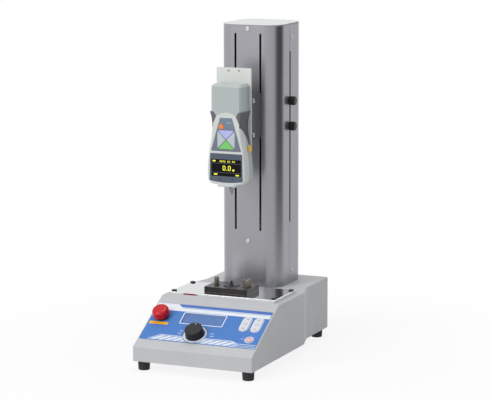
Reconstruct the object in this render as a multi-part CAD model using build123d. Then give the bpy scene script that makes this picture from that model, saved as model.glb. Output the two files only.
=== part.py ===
from build123d import *
import math
import os

# Motorised vertical force test stand with a hand-held force gauge on its carriage.
# Lengths are in millimetres and angles in degrees. X runs to the operator's right, Y to the back and Z up.
# The origin is the centre of the footprint, on the surface that the feet stand on.

# Base housing, folded from sheet with a sloped control panel at the front
BASE_WIDTH = 235.0
BASE_REAR_WIDTH = 207.2
BASE_DEPTH = 400.0
BASE_HEIGHT = 98.2
BASE_WALL = 3.0
BASE_EDGE_RADIUS = 2.5
LIP_HEIGHT = 27.1
SLOPE_RUN = 123.6
TAPER_FROM_FRONT = 243.0
TAPER_RUN = 47.4
BOTTOM_PLATE_THICKNESS = 2.0
BOTTOM_PLATE_CLEARANCE = 0.3
CORNER_BOSS_SIDE = 12.0
CORNER_BOSS_BURY = 1.0
CORNER_BOSS_HEIGHT = 24.0
VENT_LENGTH = 40.0
VENT_WIDTH = 3.0
VENT_PITCH = 9.0
VENT_COUNT = 7
REAR_VENT_WIDTH = 2.0
REAR_VENT_HEIGHT = 28.0
REAR_VENT_PITCH = 4.5
REAR_VENT_INSET = 6.0

# Screws and their holes
OVERSHOOT = 1.0
SMALL_SCREW_RADIUS = 1.5
SMALL_HOLE_RADIUS = 1.6
MEDIUM_SCREW_RADIUS = 1.95
MEDIUM_HOLE_RADIUS = 2.0
PLATE_SCREW_RADIUS = 2.0
PLATE_HOLE_RADIUS = 2.1
COLUMN_BOLT_RADIUS = 2.5
COLUMN_BOLT_HOLE_RADIUS = 2.6
SCREW_BITE = 6.0

# Rubber feet
FOOT_HEIGHT = 17.6
FOOT_TOP_RADIUS = 11.35
FOOT_BOTTOM_RADIUS = 10.25
FOOT_FRONT_INSET = 17.0
FOOT_FRONT_SIDE_INSET = 14.9
FOOT_REAR_INSET = 14.0
FOOT_REAR_SIDE_INSET = 17.5
FOOT_RECESS_RADIUS = 4.6
FOOT_RECESS_DEPTH = 10.0
FOOT_EDGE_RADIUS = 1.0
FOOT_SCREW_HEAD = (4.0, 2.6)
PLATE_SCREW_HEAD = (3.0, 1.8)
PLATE_SCREW_LENGTH = 10.0

# Rear wall and mains inlet
REAR_OPENING_WIDTH = 150.0
REAR_OPENING_HEIGHT = 62.0
REAR_PANEL_THICKNESS = 2.0
REAR_PANEL_LAP = 8.0
REAR_SCREW_HEAD = 2.95
FRAME_CLEAR = 0.05
INLET_X = 46.0
INLET_WIDTH = 30.0
INLET_HEIGHT = 54.0
INLET_FLANGE_LAP = 2.5
INLET_FLANGE_THICKNESS = 2.2
INLET_DEPTH = 34.0
SOCKET_WIDTH = 24.0
SOCKET_HEIGHT = 16.5
SOCKET_DEPTH = 17.0
CONTACT_LENGTH = 12.0
CONTACT_WIDTH = 4.0
CONTACT_THICKNESS = 2.0
CONTACT_PITCH = 7.0
ROCKER_WIDTH = 19.0
ROCKER_HEIGHT = 13.0
ROCKER_WELL_DEPTH = 12.0
ROCKER_GAP = 0.35
ROCKER_PIN_RADIUS = 1.2
ROCKER_PIN_REACH = 2.0
ROCKER_AXIS_DEPTH = 5.5
ROCKER_SWING_ROOM = 0.8
ROCKER_HOLLOW = 1.0
ROCKER_TILT = 7.0
INLET_MARGIN = 5.0
INLET_CORNER = 2.0
SOCKET_CORNER = 4.0
CONTACT_STAGGER = 2.0
CONNECTOR_X = -24.0
CONNECTOR_WIDTH = 31.0
CONNECTOR_HEIGHT = 12.5
CONNECTOR_PLATE = 1.0
CONNECTOR_COLLAR = 0.8
CONNECTOR_COLLAR_HEIGHT = 2.6
CONNECTOR_MOUTH_TOP = 9.0
CONNECTOR_MOUTH_BOTTOM = 7.6
CONNECTOR_MOUTH_HALF_HEIGHT = 4.2

# Control panel
OVERLAY_WIDTH = 228.0
OVERLAY_START = 22.0
OVERLAY_LENGTH = 99.0
OVERLAY_THICKNESS = 0.5
OVERLAY_CORNER = 3.0
PANEL_FIT = 0.3
LCD_X = -10.8
LCD_S = 85.8
LCD_WIDTH = 78.0
LCD_LENGTH = 26.0
LCD_WINDOW_THICKNESS = 2.0
LCD_MODULE_MARGIN = 9.0
BOARD_DEPTH = 9.0
BOARD_THICKNESS = 1.6
BOARD_X = 23.0
BOARD_S = 72.0
BOARD_WIDTH = 170.0
BOARD_LENGTH = 80.0
STANDOFF_RADIUS = 3.0
STANDOFF_INSET = 6.0
SWITCH_SIDE = 6.0
SWITCH_HEIGHT = 2.0

# Panel keys
KEY_RISE = 0.6
KEY_THICKNESS = 1.0
KEY_TRAVEL = 0.5
KEY_STEM_RADIUS = 2.0
KEY_STEM_FIT = 0.1
ARROW_KEY_WIDTH = 15.5
ARROW_KEY_LENGTH = 36.5
UP_KEY_X = 73.5
DOWN_KEY_X = 96.0
ARROW_KEY_S = 84.0
POWER_KEY_X = 95.0
POWER_KEY_S = 44.5
POWER_KEY_RADIUS = 7.0

# Speed dial
DIAL_X = -11.0
DIAL_S = 45.0
DIAL_RADIUS = 17.5
DIAL_TOP_RADIUS = 16.2
DIAL_HEIGHT = 14.5
DIAL_LIFT = 0.4
DIAL_FLUTES = 30
DIAL_FLUTE_RADIUS = 0.9
DIAL_SHAFT_RADIUS = 3.0
DIAL_SHAFT_FIT = 0.05
DIAL_BUSH_RADIUS = 4.6
DIAL_NUT_FLATS = 12.0
DIAL_NUT_HEIGHT = 2.2
ENCODER_SIDE = 13.0

# Emergency stop
ESTOP_X = -93.0
ESTOP_S = 85.0
ESTOP_HEAD_RADIUS = 15.5
ESTOP_HEAD_TOP = 19.5
ESTOP_HEAD_BOTTOM = 4.6
ESTOP_SHOULDER_RADIUS = 6.0
ESTOP_SHOULDER_CLEAR = 0.1
ESTOP_COLLAR_RADIUS = 12.0
ESTOP_COLLAR_HEIGHT = 4.0
ESTOP_BARREL_RADIUS = 11.0
ESTOP_NUT_RADIUS = 14.5
ESTOP_SKIRT_DEPTH = 8.4
ESTOP_SKIRT_RADIUS = 12.6
ESTOP_BARREL_LENGTH = 22.0
ESTOP_NECK_RADIUS = 9.5
ESTOP_NECK_HEIGHT = 3.8
ESTOP_STEM_RADIUS = 4.95
ESTOP_STEM_FIT = 0.05
ESTOP_SPIGOT_RADIUS = 4.0
ESTOP_TRAVEL = 3.9
ESTOP_BLOCK_SIDE = 28.0
ESTOP_BLOCK_LENGTH = 20.0

# Test table and its fixture
AXIS_FROM_FRONT = 177.0
TABLE_WIDTH = 210.0
TABLE_FRONT_REACH = 45.0
TABLE_REAR_REACH = 55.0
TABLE_THICKNESS = 6.0
TABLE_EDGE_CHAMFER = 0.8
TABLE_SCREW_INSET_X = 5.0
TABLE_SCREW_INSET_Y = 9.0
TABLE_HOLE_RADIUS = 2.5
TABLE_HOLE_HALF_X = 36.0
TABLE_HOLE_HALF_Y = 37.0
TABLE_SIDE_HOLE_X = 53.0
FIXTURE_WIDTH = 86.0
FIXTURE_LENGTH = 55.0
FIXTURE_THICKNESS = 11.0
FIXTURE_EDGE_CHAMFER = 0.6
FIXTURE_PIN_RADIUS = 1.75
FIXTURE_PIN_HEIGHT = 9.0
FIXTURE_DISC_RADIUS = 15.0
FIXTURE_DISC_HEIGHT = 1.4
FIXTURE_COLLAR_RADIUS = 3.8
FIXTURE_COLLAR_HEIGHT = 3.4
THUMBSCREW_X = 30.8
THUMBSCREW_OFFSET = 1.0
THUMBSCREW_SHANK_RADIUS = 2.5
THUMBSCREW_FIT = 0.1
LEFT_THUMBSCREW_RADIUS = 4.4
LEFT_THUMBSCREW_HEIGHT = 13.6
RIGHT_THUMBSCREW_RADIUS = 7.2
RIGHT_THUMBSCREW_HEIGHT = 13.2
THUMBSCREW_SEAT = 1.2
THUMBSCREW_FLANGE = 1.8
THUMBSCREW_GROOVES = 20

# Column
COLUMN_HEIGHT = 492.4
COLUMN_THROAT = 76.5
COLUMN_WIDTH = 120.0
COLUMN_FRONT_DEPTH = 56.2
COLUMN_FRONT_RADIUS = 32.0
COLUMN_WALL = 3.0
COLUMN_SEAM = 0.9
COLUMN_REAR_DEPTH = 70.8
COLUMN_REAR_RADIUS = 31.0
CAP_THICKNESS = 3.0
CAP_EDGE_RADIUS = 1.0
ARM_SLOT_WIDTH = 4.0
ARM_SLOT_BOTTOM = 107.6
ARM_SLOT_TOP_MARGIN = 16.1
SIDE_SLOT_DEPTH = 6.0
SIDE_SLOT_BOTTOM = 118.7
SIDE_SLOT_TOP = 440.2
COLUMN_VENT_HEIGHT = 59.0
FRAME_FIT = 0.2
FOOT_PLATE_THICKNESS = 6.0
COLUMN_BOLT_SIDE_INSET = 12.0
COLUMN_BOLT_FRONT_INSET = 22.0
COLUMN_BOLT_REAR_INSET = 14.0
FLANGE_THICKNESS = 3.0
FLANGE_LENGTH = 28.0
FLANGE_HEIGHT = 34.0
SIDE_SCREW_SETBACK = 11.0
SIDE_SCREW_HEAD = (2.6, 1.4)
FRONT_SCREW_HEAD = (3.5, 2.0)
COLUMN_BOLT_HEAD = (4.2, 3.0)
SIDE_SCREW_LOW = 26.0
SIDE_SCREW_DROP = 27.0
BEARING_PLATE_THICKNESS = 10.0
LOWER_PLATE_DROP = 15.0
CABLE_HOLE_RADIUS = 8.0

# Lift drive inside the column
GUIDE_SETBACK = 46.5
ROD_RADIUS = 6.0
ROD_HALF_SPACING = 28.0
ROD_FIT = 0.03
ROD_SEAT = 4.0
SCREW_RADIUS = 6.0
SCREW_JOURNAL_RADIUS = 5.0
RUNNING_FIT = 0.05
BEARING_RADIUS = 13.0
BEARING_HEIGHT = 8.0
SCREW_PULLEY_RADIUS = 16.0
MOTOR_PULLEY_RADIUS = 8.0
PULLEY_HEIGHT = 10.0
PULLEY_DROP = 6.4
PULLEY_FLANGE = 1.5
PULLEY_FLANGE_LIP = 1.8
BELT_WIDTH = 6.4
BELT_THICKNESS = 1.4
BELT_GAP = 0.1
MOTOR_SETBACK = 40.0
MOTOR_SIDE = 42.3
MOTOR_LENGTH = 46.0
MOTOR_SHAFT_RADIUS = 2.5
MOTOR_SHAFT_DEPTH = 20.0
MOTOR_PLATE_MARGIN = 2.5
MOTOR_SPIGOT_RADIUS = 11.2
MOTOR_CORNER = 4.0
MOTOR_PLATE_THICKNESS = 4.0
MOTOR_PLATE_DROP = 24.4
MOTOR_POST_RADIUS = 4.0

# Carriage with its two arms
CARRIAGE_REST = 324.8
CARRIAGE_WIDTH = 80.0
CARRIAGE_DEPTH = 32.0
CARRIAGE_HEIGHT = 71.0
BUSH_RADIUS = 10.5
BUSH_LENGTH = 28.0
NUT_RADIUS = 11.0
NUT_FLANGE_RADIUS = 16.0
NUT_LENGTH = 30.0
NUT_FLANGE_THICKNESS = 8.0
ARM_THICKNESS = 3.0
ARM_SPACING = 50.0
ARM_HEIGHT = 82.6
ARM_FLANGE = 14.0
NOSE_DEPTH = 18.0
CROSS_BAR_RADIUS = 5.0
CROSS_BAR_SETBACK = 24.0
ARM_SCREW_HALF_Z = 31.5
BRACKET_WIDTH = 68.4
BRACKET_HEIGHT = 152.6
BRACKET_THICKNESS = 3.0
BRACKET_CORNER = 1.5
BRACKET_SCREW_HEAD = (3.75, 1.95)
GAUGE_SCREW_HEAD = (3.4, 2.4)
ARM_SCREW_HEAD = (4.3, 2.6)
BRACKET_BELOW_CENTRE = 58.6
BRACKET_HOLE_RADIUS = 2.0
BRACKET_HOLE_HALF_X = 10.5
BRACKET_HOLE_DROP = 5.6
BRACKET_SCREW_X = 19.0
BRACKET_SCREW_HALF_Z = 36.5

# Limit clamps on the right-hand side
LIMIT_RAIL_THICKNESS = 3.0
LIMIT_RAIL_WIDTH = 15.0
LIMIT_CLAMP_THICKNESS = 4.1
LIMIT_CLAMP_HEIGHT = 16.0
LIMIT_CLAMP_WIDTH = 15.0
LIMIT_GAP = 0.2
LIMIT_STEM_RADIUS = 2.5
LIMIT_KNOB_RADIUS = 8.3
LIMIT_KNOB_LENGTH = 10.8
LIMIT_KNOB_GAP = 0.6
LIMIT_KNOB_FLUTES = 16
LIMIT_KNOB_ROUNDING = 2.2
LIMIT_FLUTE_RADIUS = 0.8
UPPER_LIMIT_HEIGHT = 347.7
LOWER_LIMIT_HEIGHT = 300.0

# Force gauge, measured up from the underside of its housing
GAUGE_BELOW_CARRIAGE = 121.2
GAUGE_DEPTH = 35.5
GAUGE_AXIS_SETBACK = 23.5
GAUGE_WALL = 2.5
GAUGE_SPLIT = 18.5
GAUGE_EDGE_RADIUS = 2.4
HOOD_HALF_WIDTH = 30.8
HOOD_BOTTOM = 137.6
HOOD_TOP = 187.6
HOOD_SIDE_CHAMFER = 4.5
HOOD_TOP_CHAMFER = 4.0
SHOULDER_HALF_WIDTH = 33.0
WAIST_HALF_WIDTH = 28.4
WAIST_HEIGHT = 105.6
HIP_HALF_WIDTH = 34.0
HIP_HEIGHT = 67.6
WIDE_HALF_WIDTH = 37.5
WIDE_HEIGHT = 33.6
CHIN_HALF_WIDTH = 37.0
CHIN_HEIGHT = 12.6
CHIN_CORNER_HALF_WIDTH = 31.5
CHIN_CORNER_HEIGHT = 6.0
CHIN_CORNER_RADIUS = 5.0
STEP_HALF_WIDTH = 19.0
STEP_HEIGHT = 4.0
NECK_HALF_WIDTH = 17.0
ARCH_HALF_WIDTH = 19.5
ARCH_FOOT = 130.1
ARCH_TOP = 137.0
HOOD_LIP_HALF_WIDTH = 24.0
GRIP_TIP_HEIGHT = 77.0
PANEL_RECESS = 1.6
PANEL_SINK = 0.1
KEYPAD_TOP = 127.1
KEYPAD_BOTTOM = 65.8
KEYPAD_TOP_HALF_WIDTH = 12.0
KEYPAD_BOTTOM_HALF_WIDTH = 30.2
DISPLAY_TOP = 61.6
DISPLAY_BOTTOM = 11.1
DISPLAY_DIP = 3.0
DISPLAY_TOP_HALF_WIDTH = 31.8
DISPLAY_BOTTOM_HALF_WIDTH = 33.2
GAUGE_PANEL_FIT = 0.1
PANEL_CORNER = 2.0
SECTOR_CENTRE = 87.1
SECTOR_HALF_SIZE = 17.2
SECTOR_CORNER = 5.0
SECTOR_GAP = 1.0
GAUGE_KEY_PROUD = 0.4
GAUGE_KEY_LENGTH = 3.1
GAUGE_KEY_FIT = 0.3
ZERO_KEY_X = -10.0
ZERO_KEY_HEIGHT = 110.9
ZERO_KEY_RADIUS = 4.8
SIDE_KEY_HEIGHT = 69.0
SIDE_KEY_FROM_BACK = 9.0
SIDE_KEY_DEPTH = 13.0
SIDE_KEY_TALL = 10.4
SIDE_KEY_CORNER = 4.0
HOOD_GROOVES_FROM_BACK = (4.5, 8.5, 12.5)
HOOD_GROOVE_WIDTH = 1.4
HOOD_GROOVE_DEPTH = 0.8
HOOD_GROOVE_MARGIN = 5.0
SIDE_KEY_PROUD = 3.0
GAUGE_BOARD_DEPTH = 7.0
GAUGE_BOARD_HALF_WIDTH = 22.5
GAUGE_BOARD_BOTTOM = 15.0
GAUGE_BOARD_TOP = 126.0
GAUGE_BOSS_X = 20.0
GAUGE_BOSS_HEIGHTS = (62.0, 121.0)
GAUGE_BOSS_RADIUS = 2.5
BATTERY_WIDTH = 40.0
BATTERY_LENGTH = 46.0
BATTERY_DEPTH = 17.0
GAUGE_SCREW_X = 8.0
GAUGE_SCREW_HEIGHTS = (79.0, 119.0)
CELL_WIDTH = 28.0
CELL_DEPTH = 18.0
CELL_LENGTH = 48.0
CELL_BOTTOM = 20.6
CELL_HOLE_RADIUS = 6.0
CELL_HOLE_HALF_SPACING = 12.0
CELL_SLOT = 2.0
SHAFT_RADIUS = 3.0
SHAFT_COLLAR_RADIUS = 4.5
SHAFT_HOLE_RADIUS = 5.5
SHAFT_TIP_DROP = 16.7
NUT_TOP_DROP = 4.0
LOCK_NUT_HEIGHT = 6.0
LOCK_NUT_FLATS = 10.0

# Power supply in the base
SUPPLY_WIDTH = 70.0
SUPPLY_LENGTH = 96.0
SUPPLY_HEIGHT = 34.0
SUPPLY_X = -52.0
SUPPLY_FROM_REAR = 30.0
SUPPLY_LIFT = 4.0
SUPPLY_STEP = 5.0
TRANSFORMER_WIDTH = 32.0
TRANSFORMER_LENGTH = 28.0
CAPACITOR_RADIUS = 9.0
HEAT_SINK_WIDTH = 52.0

# Levels and planes that follow from the sizes above
FRONT_Y = -BASE_DEPTH / 2
REAR_Y = BASE_DEPTH / 2
BASE_Z = FOOT_HEIGHT
DECK_Z = BASE_Z + BASE_HEIGHT
LIP_Z = BASE_Z + LIP_HEIGHT
SLOPE = math.atan2(DECK_Z - LIP_Z, SLOPE_RUN)
AXIS_Y = FRONT_Y + AXIS_FROM_FRONT
TABLE_Z = DECK_Z + TABLE_THICKNESS
FIXTURE_Z = TABLE_Z + FIXTURE_THICKNESS
COLUMN_Y = AXIS_Y + COLUMN_THROAT
SEAM_Y = COLUMN_Y + COLUMN_FRONT_DEPTH
COLUMN_REAR_Y = SEAM_Y + COLUMN_REAR_DEPTH
COLUMN_TOP = DECK_Z + COLUMN_HEIGHT
SHELL_TOP = COLUMN_TOP - CAP_THICKNESS
SIDE_SCREW_Y = SEAM_Y + SIDE_SCREW_SETBACK
GUIDE_Y = COLUMN_Y + GUIDE_SETBACK
MOTOR_Y = GUIDE_Y + MOTOR_SETBACK
CABLE_HOLE_Y = MOTOR_Y - MOTOR_SIDE / 2 - 2 * CABLE_HOLE_RADIUS
SLOT_BOTTOM_Z = DECK_Z + ARM_SLOT_BOTTOM
SLOT_TOP_Z = COLUMN_TOP - ARM_SLOT_TOP_MARGIN
FOOT_PLATE_TOP = DECK_Z + FOOT_PLATE_THICKNESS
LOWER_PLATE_TOP = SLOT_BOTTOM_Z - LOWER_PLATE_DROP
LOWER_PLATE_BOTTOM = LOWER_PLATE_TOP - BEARING_PLATE_THICKNESS
UPPER_PLATE_TOP = SHELL_TOP - FRAME_FIT
UPPER_PLATE_BOTTOM = UPPER_PLATE_TOP - BEARING_PLATE_THICKNESS
PULLEY_TOP = LOWER_PLATE_BOTTOM - PULLEY_DROP
PULLEY_BOTTOM = PULLEY_TOP - PULLEY_HEIGHT
MOTOR_PLATE_BOTTOM = LOWER_PLATE_BOTTOM - MOTOR_PLATE_DROP - MOTOR_PLATE_THICKNESS
CARRIAGE_Z = DECK_Z + CARRIAGE_REST
GAUGE_Z = CARRIAGE_Z - GAUGE_BELOW_CARRIAGE
GAUGE_FRONT = AXIS_Y - GAUGE_AXIS_SETBACK
GAUGE_BACK = GAUGE_FRONT + GAUGE_DEPTH
GAUGE_SPLIT_Y = GAUGE_FRONT + GAUGE_SPLIT
BRACKET_BACK = GAUGE_BACK + BRACKET_THICKNESS
CARRIAGE_FRONT = GUIDE_Y - CARRIAGE_DEPTH / 2
SLOT_SIDE_Y = SEAM_Y + SIDE_SLOT_DEPTH / 2
COVER_INNER_X = COLUMN_WIDTH / 2 - COLUMN_WALL
CLAMP_OUTER_X = COVER_INNER_X - LIMIT_GAP
CLAMP_INNER_X = CLAMP_OUTER_X - LIMIT_CLAMP_THICKNESS
RAIL_OUTER_X = CLAMP_INNER_X - LIMIT_GAP
PANEL = Plane(
    origin=(0, FRONT_Y, LIP_Z),
    x_dir=(1, 0, 0),
    z_dir=(0, -math.sin(SLOPE), math.cos(SLOPE)),
)

DOWN = Rot(180, 0, 0)
FORWARD = Rot(90, 0, 0)
BACKWARD = Rot(-90, 0, 0)
RIGHT = Rot(0, 90, 0)
LEFT = Rot(0, -90, 0)


def block(x0, x1, y0, y1, z0, z1):
    """Block between two corners."""
    return Pos((x0 + x1) / 2, (y0 + y1) / 2, (z0 + z1) / 2) * Box(x1 - x0, y1 - y0, z1 - z0)


def rod_z(x, y, z0, z1, radius):
    """Upright cylinder."""
    return Pos(x, y, (z0 + z1) / 2) * Cylinder(radius, z1 - z0)


def rod_y(x, z, y0, y1, radius):
    """Cylinder from front to back."""
    return Pos(x, (y0 + y1) / 2, z) * FORWARD * Cylinder(radius, y1 - y0)


def rod_x(y, z, x0, x1, radius):
    """Cylinder from side to side."""
    return Pos((x0 + x1) / 2, y, z) * RIGHT * Cylinder(radius, x1 - x0)


def outline(points):
    """Flat face inside a closed run of straight lines."""
    return make_face(Polyline(*points, close=True))


def prism_z(face, z0, z1):
    """Face drawn in X and Y, raised between two heights."""
    return extrude(Plane.XY.offset(z0) * face, amount=z1 - z0)


def prism_y(face, y_front, y_back):
    """Face drawn in X and Z, carried between two depths."""
    return extrude(Plane.XZ.offset(-y_back) * face, amount=y_back - y_front)


def prism_x(face, x0, x1):
    """Face drawn in Y and Z, carried from side to side."""
    return extrude(Plane.YZ.offset(x0) * face, amount=x1 - x0)


def on_panel(x, s, h=0.0):
    """Place on the control panel: across it, up its slope and out of its surface."""
    return PANEL.location * Pos(x, s, h)


def panel_rod(x, s, h0, h1, radius):
    """Cylinder square to the control panel."""
    return on_panel(x, s, (h0 + h1) / 2) * Cylinder(radius, h1 - h0)


def panel_block(x, s, width, length, h0, h1):
    """Block square to the control panel."""
    return on_panel(x, s, (h0 + h1) / 2) * Box(width, length, h1 - h0)


def group(solids):
    """Several loose solids that share one node."""
    return Compound(children=list(solids))


def mirrored(solids):
    """The solids with their mirror images across the middle plane."""
    pairs = [mirror(solid, about=Plane.YZ) for solid in solids]
    return list(solids) + pairs


def cap_screw(head_radius, head_height, shank_radius, shank_length):
    """Screw with a round head and hexagon socket, its head standing on the XY plane."""
    head = Pos(0, 0, head_height / 2) * Cylinder(head_radius, head_height)
    head = fillet(head.edges().group_by(Axis.Z)[-1], min(head_height, head_radius) * 0.3)
    socket_depth = head_height * 0.6
    socket = Pos(0, 0, head_height - socket_depth / 2) * extrude(
        RegularPolygon(head_radius * 0.5, 6), amount=socket_depth / 2, both=True
    )
    shank = Pos(0, 0, -shank_length / 2) * Cylinder(shank_radius, shank_length)
    return head + shank - socket


def countersunk_screw(head_radius, head_height, shank_radius, length):
    """Countersunk screw whose flat head ends in the XY plane."""
    head = Pos(0, 0, -head_height / 2) * Cone(shank_radius, head_radius, head_height)
    shank = Pos(0, 0, -length / 2) * Cylinder(shank_radius, length)
    return head + shank


# Base

def base_profile(inset):
    """Side view of the base in Y and Z, drawn in by a wall everywhere but at its open bottom."""
    sine, cosine = math.sin(SLOPE), math.cos(SLOPE)
    lip_y = FRONT_Y + inset
    lip_z = LIP_Z + inset * ((1 - sine) * sine / cosine - cosine)
    deck_z = DECK_Z - inset
    along = (deck_z - LIP_Z + inset * cosine) / sine
    deck_y = FRONT_Y + along * cosine + inset * sine
    back_y = REAR_Y - inset
    return outline(
        [(lip_y, BASE_Z), (lip_y, lip_z), (deck_y, deck_z), (back_y, deck_z), (back_y, BASE_Z)]
    )


def base_plan(inset):
    """Plan of the base in X and Y, with the taper towards its back."""
    wide = BASE_WIDTH / 2 - inset
    narrow = BASE_REAR_WIDTH / 2 - inset
    taper_y = FRONT_Y + TAPER_FROM_FRONT
    right = [
        (wide, FRONT_Y + inset),
        (wide, taper_y),
        (narrow, taper_y + TAPER_RUN),
        (narrow, REAR_Y - inset),
    ]
    return outline(right + [(-x, y) for x, y in reversed(right)])


def base_volume(inset):
    """Solid inside the base's outer skin, or inside its walls."""
    side = prism_x(base_profile(inset), -BASE_WIDTH / 2, BASE_WIDTH / 2)
    return side & prism_z(base_plan(inset), BASE_Z, DECK_Z)


def foot_places():
    """Centres of the four feet."""
    front = (BASE_WIDTH / 2 - FOOT_FRONT_SIDE_INSET, FRONT_Y + FOOT_FRONT_INSET)
    rear = (BASE_REAR_WIDTH / 2 - FOOT_REAR_SIDE_INSET, REAR_Y - FOOT_REAR_INSET)
    return [(side * x, y) for x, y in (front, rear) for side in (-1, 1)]


def boss_places():
    """Centres of the four corner bosses inside the base."""
    inset = BASE_WALL + CORNER_BOSS_SIDE / 2 - CORNER_BOSS_BURY
    clear = inset + 2 * FOOT_TOP_RADIUS
    front = (BASE_WIDTH / 2 - inset, FRONT_Y + clear + FOOT_FRONT_INSET)
    rear = (BASE_REAR_WIDTH / 2 - inset, REAR_Y - clear - FOOT_REAR_INSET)
    return [(side * x, y) for x, y in (front, rear) for side in (-1, 1)]


def table_screw_places():
    """Centres of the screws at the table plate's corners."""
    x = TABLE_WIDTH / 2 - TABLE_SCREW_INSET_X
    front = AXIS_Y - TABLE_FRONT_REACH + TABLE_SCREW_INSET_Y
    rear = AXIS_Y + TABLE_REAR_REACH - TABLE_SCREW_INSET_Y
    return [(side * x, y) for side in (-1, 1) for y in (front, rear)]


def table_hole_places():
    """Centres of the tapped holes round the fixture."""
    corners = [
        (side * TABLE_HOLE_HALF_X, AXIS_Y + end * TABLE_HOLE_HALF_Y)
        for side in (-1, 1)
        for end in (-1, 1)
    ]
    return corners + [(-TABLE_SIDE_HOLE_X, AXIS_Y), (TABLE_SIDE_HOLE_X, AXIS_Y)]


def foot_plate_screw_places():
    """Centres of the screws that hold the column's foot plate to the deck."""
    x = COVER_INNER_X - COLUMN_BOLT_SIDE_INSET
    ends = (COLUMN_Y + COLUMN_BOLT_FRONT_INSET, COLUMN_REAR_Y - COLUMN_BOLT_REAR_INSET)
    return [(side * x, y) for side in (-1, 1) for y in ends]


def key_stem_places():
    """Where the panel keys' stems pass through the panel."""
    return [(UP_KEY_X, ARROW_KEY_S), (DOWN_KEY_X, ARROW_KEY_S), (POWER_KEY_X, POWER_KEY_S)]


def rear_opening():
    """Centre height of the opening in the rear wall."""
    return BASE_Z + BASE_HEIGHT / 2


def make_base_cover():
    """Folded housing: lip, sloped panel, deck, sides and rear wall, open underneath."""
    skin = base_volume(0)
    upper_edges = skin.edges().filter_by(lambda edge: edge.center().Z > BASE_Z + 1)
    cover = fillet(upper_edges, BASE_EDGE_RADIUS) - base_volume(BASE_WALL)
    boss_bottom = BASE_Z + BOTTOM_PLATE_THICKNESS
    boss_top = boss_bottom + CORNER_BOSS_HEIGHT
    half = CORNER_BOSS_SIDE / 2
    for x, y in boss_places():
        boss = block(x - half, x + half, y - half, y + half, boss_bottom, boss_top)
        cover += boss & base_volume(CORNER_BOSS_BURY)
        cover -= rod_z(x, y, BASE_Z, boss_bottom + CORNER_BOSS_HEIGHT / 2, SMALL_HOLE_RADIUS)
    cut = BASE_WALL + OVERSHOOT
    cover -= panel_rod(ESTOP_X, ESTOP_S, -cut, 1, ESTOP_BARREL_RADIUS + PANEL_FIT)
    cover -= panel_rod(DIAL_X, DIAL_S, -cut, 1, DIAL_BUSH_RADIUS + KEY_STEM_FIT)
    cover -= panel_block(LCD_X, LCD_S, LCD_WIDTH + PANEL_FIT, LCD_LENGTH + PANEL_FIT, -cut, 1)
    for x, s in key_stem_places():
        cover -= panel_rod(x, s, -cut, 1, KEY_STEM_RADIUS + KEY_STEM_FIT)
    middle = rear_opening()
    cover -= block(
        -REAR_OPENING_WIDTH / 2, REAR_OPENING_WIDTH / 2,
        REAR_Y - cut, REAR_Y + 1,
        middle - REAR_OPENING_HEIGHT / 2, middle + REAR_OPENING_HEIGHT / 2,
    )
    for x, z in rear_screw_places():
        cover -= Pos(x, REAR_Y, z) * BACKWARD * countersunk_screw(
            REAR_SCREW_HEAD + FRAME_CLEAR, SMALL_HOLE_RADIUS, SMALL_HOLE_RADIUS, cut
        )
    for x, y in foot_plate_screw_places():
        cover -= rod_z(x, y, DECK_Z - cut, DECK_Z + OVERSHOOT, COLUMN_BOLT_HOLE_RADIUS)
    for x, y in table_screw_places():
        cover -= rod_z(x, y, DECK_Z - cut, DECK_Z + 1, TABLE_HOLE_RADIUS)
    cover -= rod_z(0, CABLE_HOLE_Y, DECK_Z - cut, DECK_Z + OVERSHOOT, CABLE_HOLE_RADIUS)
    return cover


def rear_screw_places():
    """Places in X and Z of the rear panel's screws."""
    x = REAR_OPENING_WIDTH / 2 + REAR_PANEL_LAP / 2
    z = REAR_OPENING_HEIGHT / 2 - REAR_PANEL_LAP / 2
    return [(side * x, rear_opening() + end * z) for side in (-1, 1) for end in (-1, 1)]


def make_rear_panel():
    """Plate behind the rear opening, with its vents, and the data socket that it carries."""
    back = REAR_Y - BASE_WALL
    front = back - REAR_PANEL_THICKNESS
    middle = rear_opening()
    half_width = REAR_OPENING_WIDTH / 2 + REAR_PANEL_LAP
    half_height = REAR_OPENING_HEIGHT / 2 + REAR_PANEL_LAP / 2
    plate = block(-half_width, half_width, front, back, middle - half_height, middle + half_height)
    plate -= block(
        INLET_X - INLET_WIDTH / 2, INLET_X + INLET_WIDTH / 2, front - 1, back + 1,
        middle - INLET_HEIGHT / 2, middle + INLET_HEIGHT / 2,
    )
    for index in range(VENT_COUNT):
        x = -REAR_OPENING_WIDTH / 2 + REAR_VENT_INSET + index * REAR_VENT_PITCH
        plate -= block(
            x, x + REAR_VENT_WIDTH, front - OVERSHOOT, back + OVERSHOOT,
            middle - REAR_VENT_HEIGHT / 2, middle + REAR_VENT_HEIGHT / 2,
        )
    for x, z in rear_screw_places():
        plate -= rod_y(x, z, front - OVERSHOOT, back + OVERSHOOT, SMALL_HOLE_RADIUS)
    return group([plate, data_socket(back, middle)])


def data_socket(face_y, z):
    """D-shaped data socket on its small plate."""
    rise = CONNECTOR_MOUTH_HALF_HEIGHT
    mouth = outline([
        (-CONNECTOR_MOUTH_TOP, rise), (CONNECTOR_MOUTH_TOP, rise),
        (CONNECTOR_MOUTH_BOTTOM, -rise), (-CONNECTOR_MOUTH_BOTTOM, -rise),
    ])
    place = Pos(CONNECTOR_X, z)
    plate_top = face_y + CONNECTOR_PLATE
    socket = prism_y(place * Rectangle(CONNECTOR_WIDTH, CONNECTOR_HEIGHT), face_y, plate_top)
    collar = prism_y(place * offset(mouth, CONNECTOR_COLLAR), face_y, face_y + CONNECTOR_COLLAR_HEIGHT)
    return socket + collar - prism_y(place * mouth, face_y + CONNECTOR_COLLAR, REAR_Y + OVERSHOOT)


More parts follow.
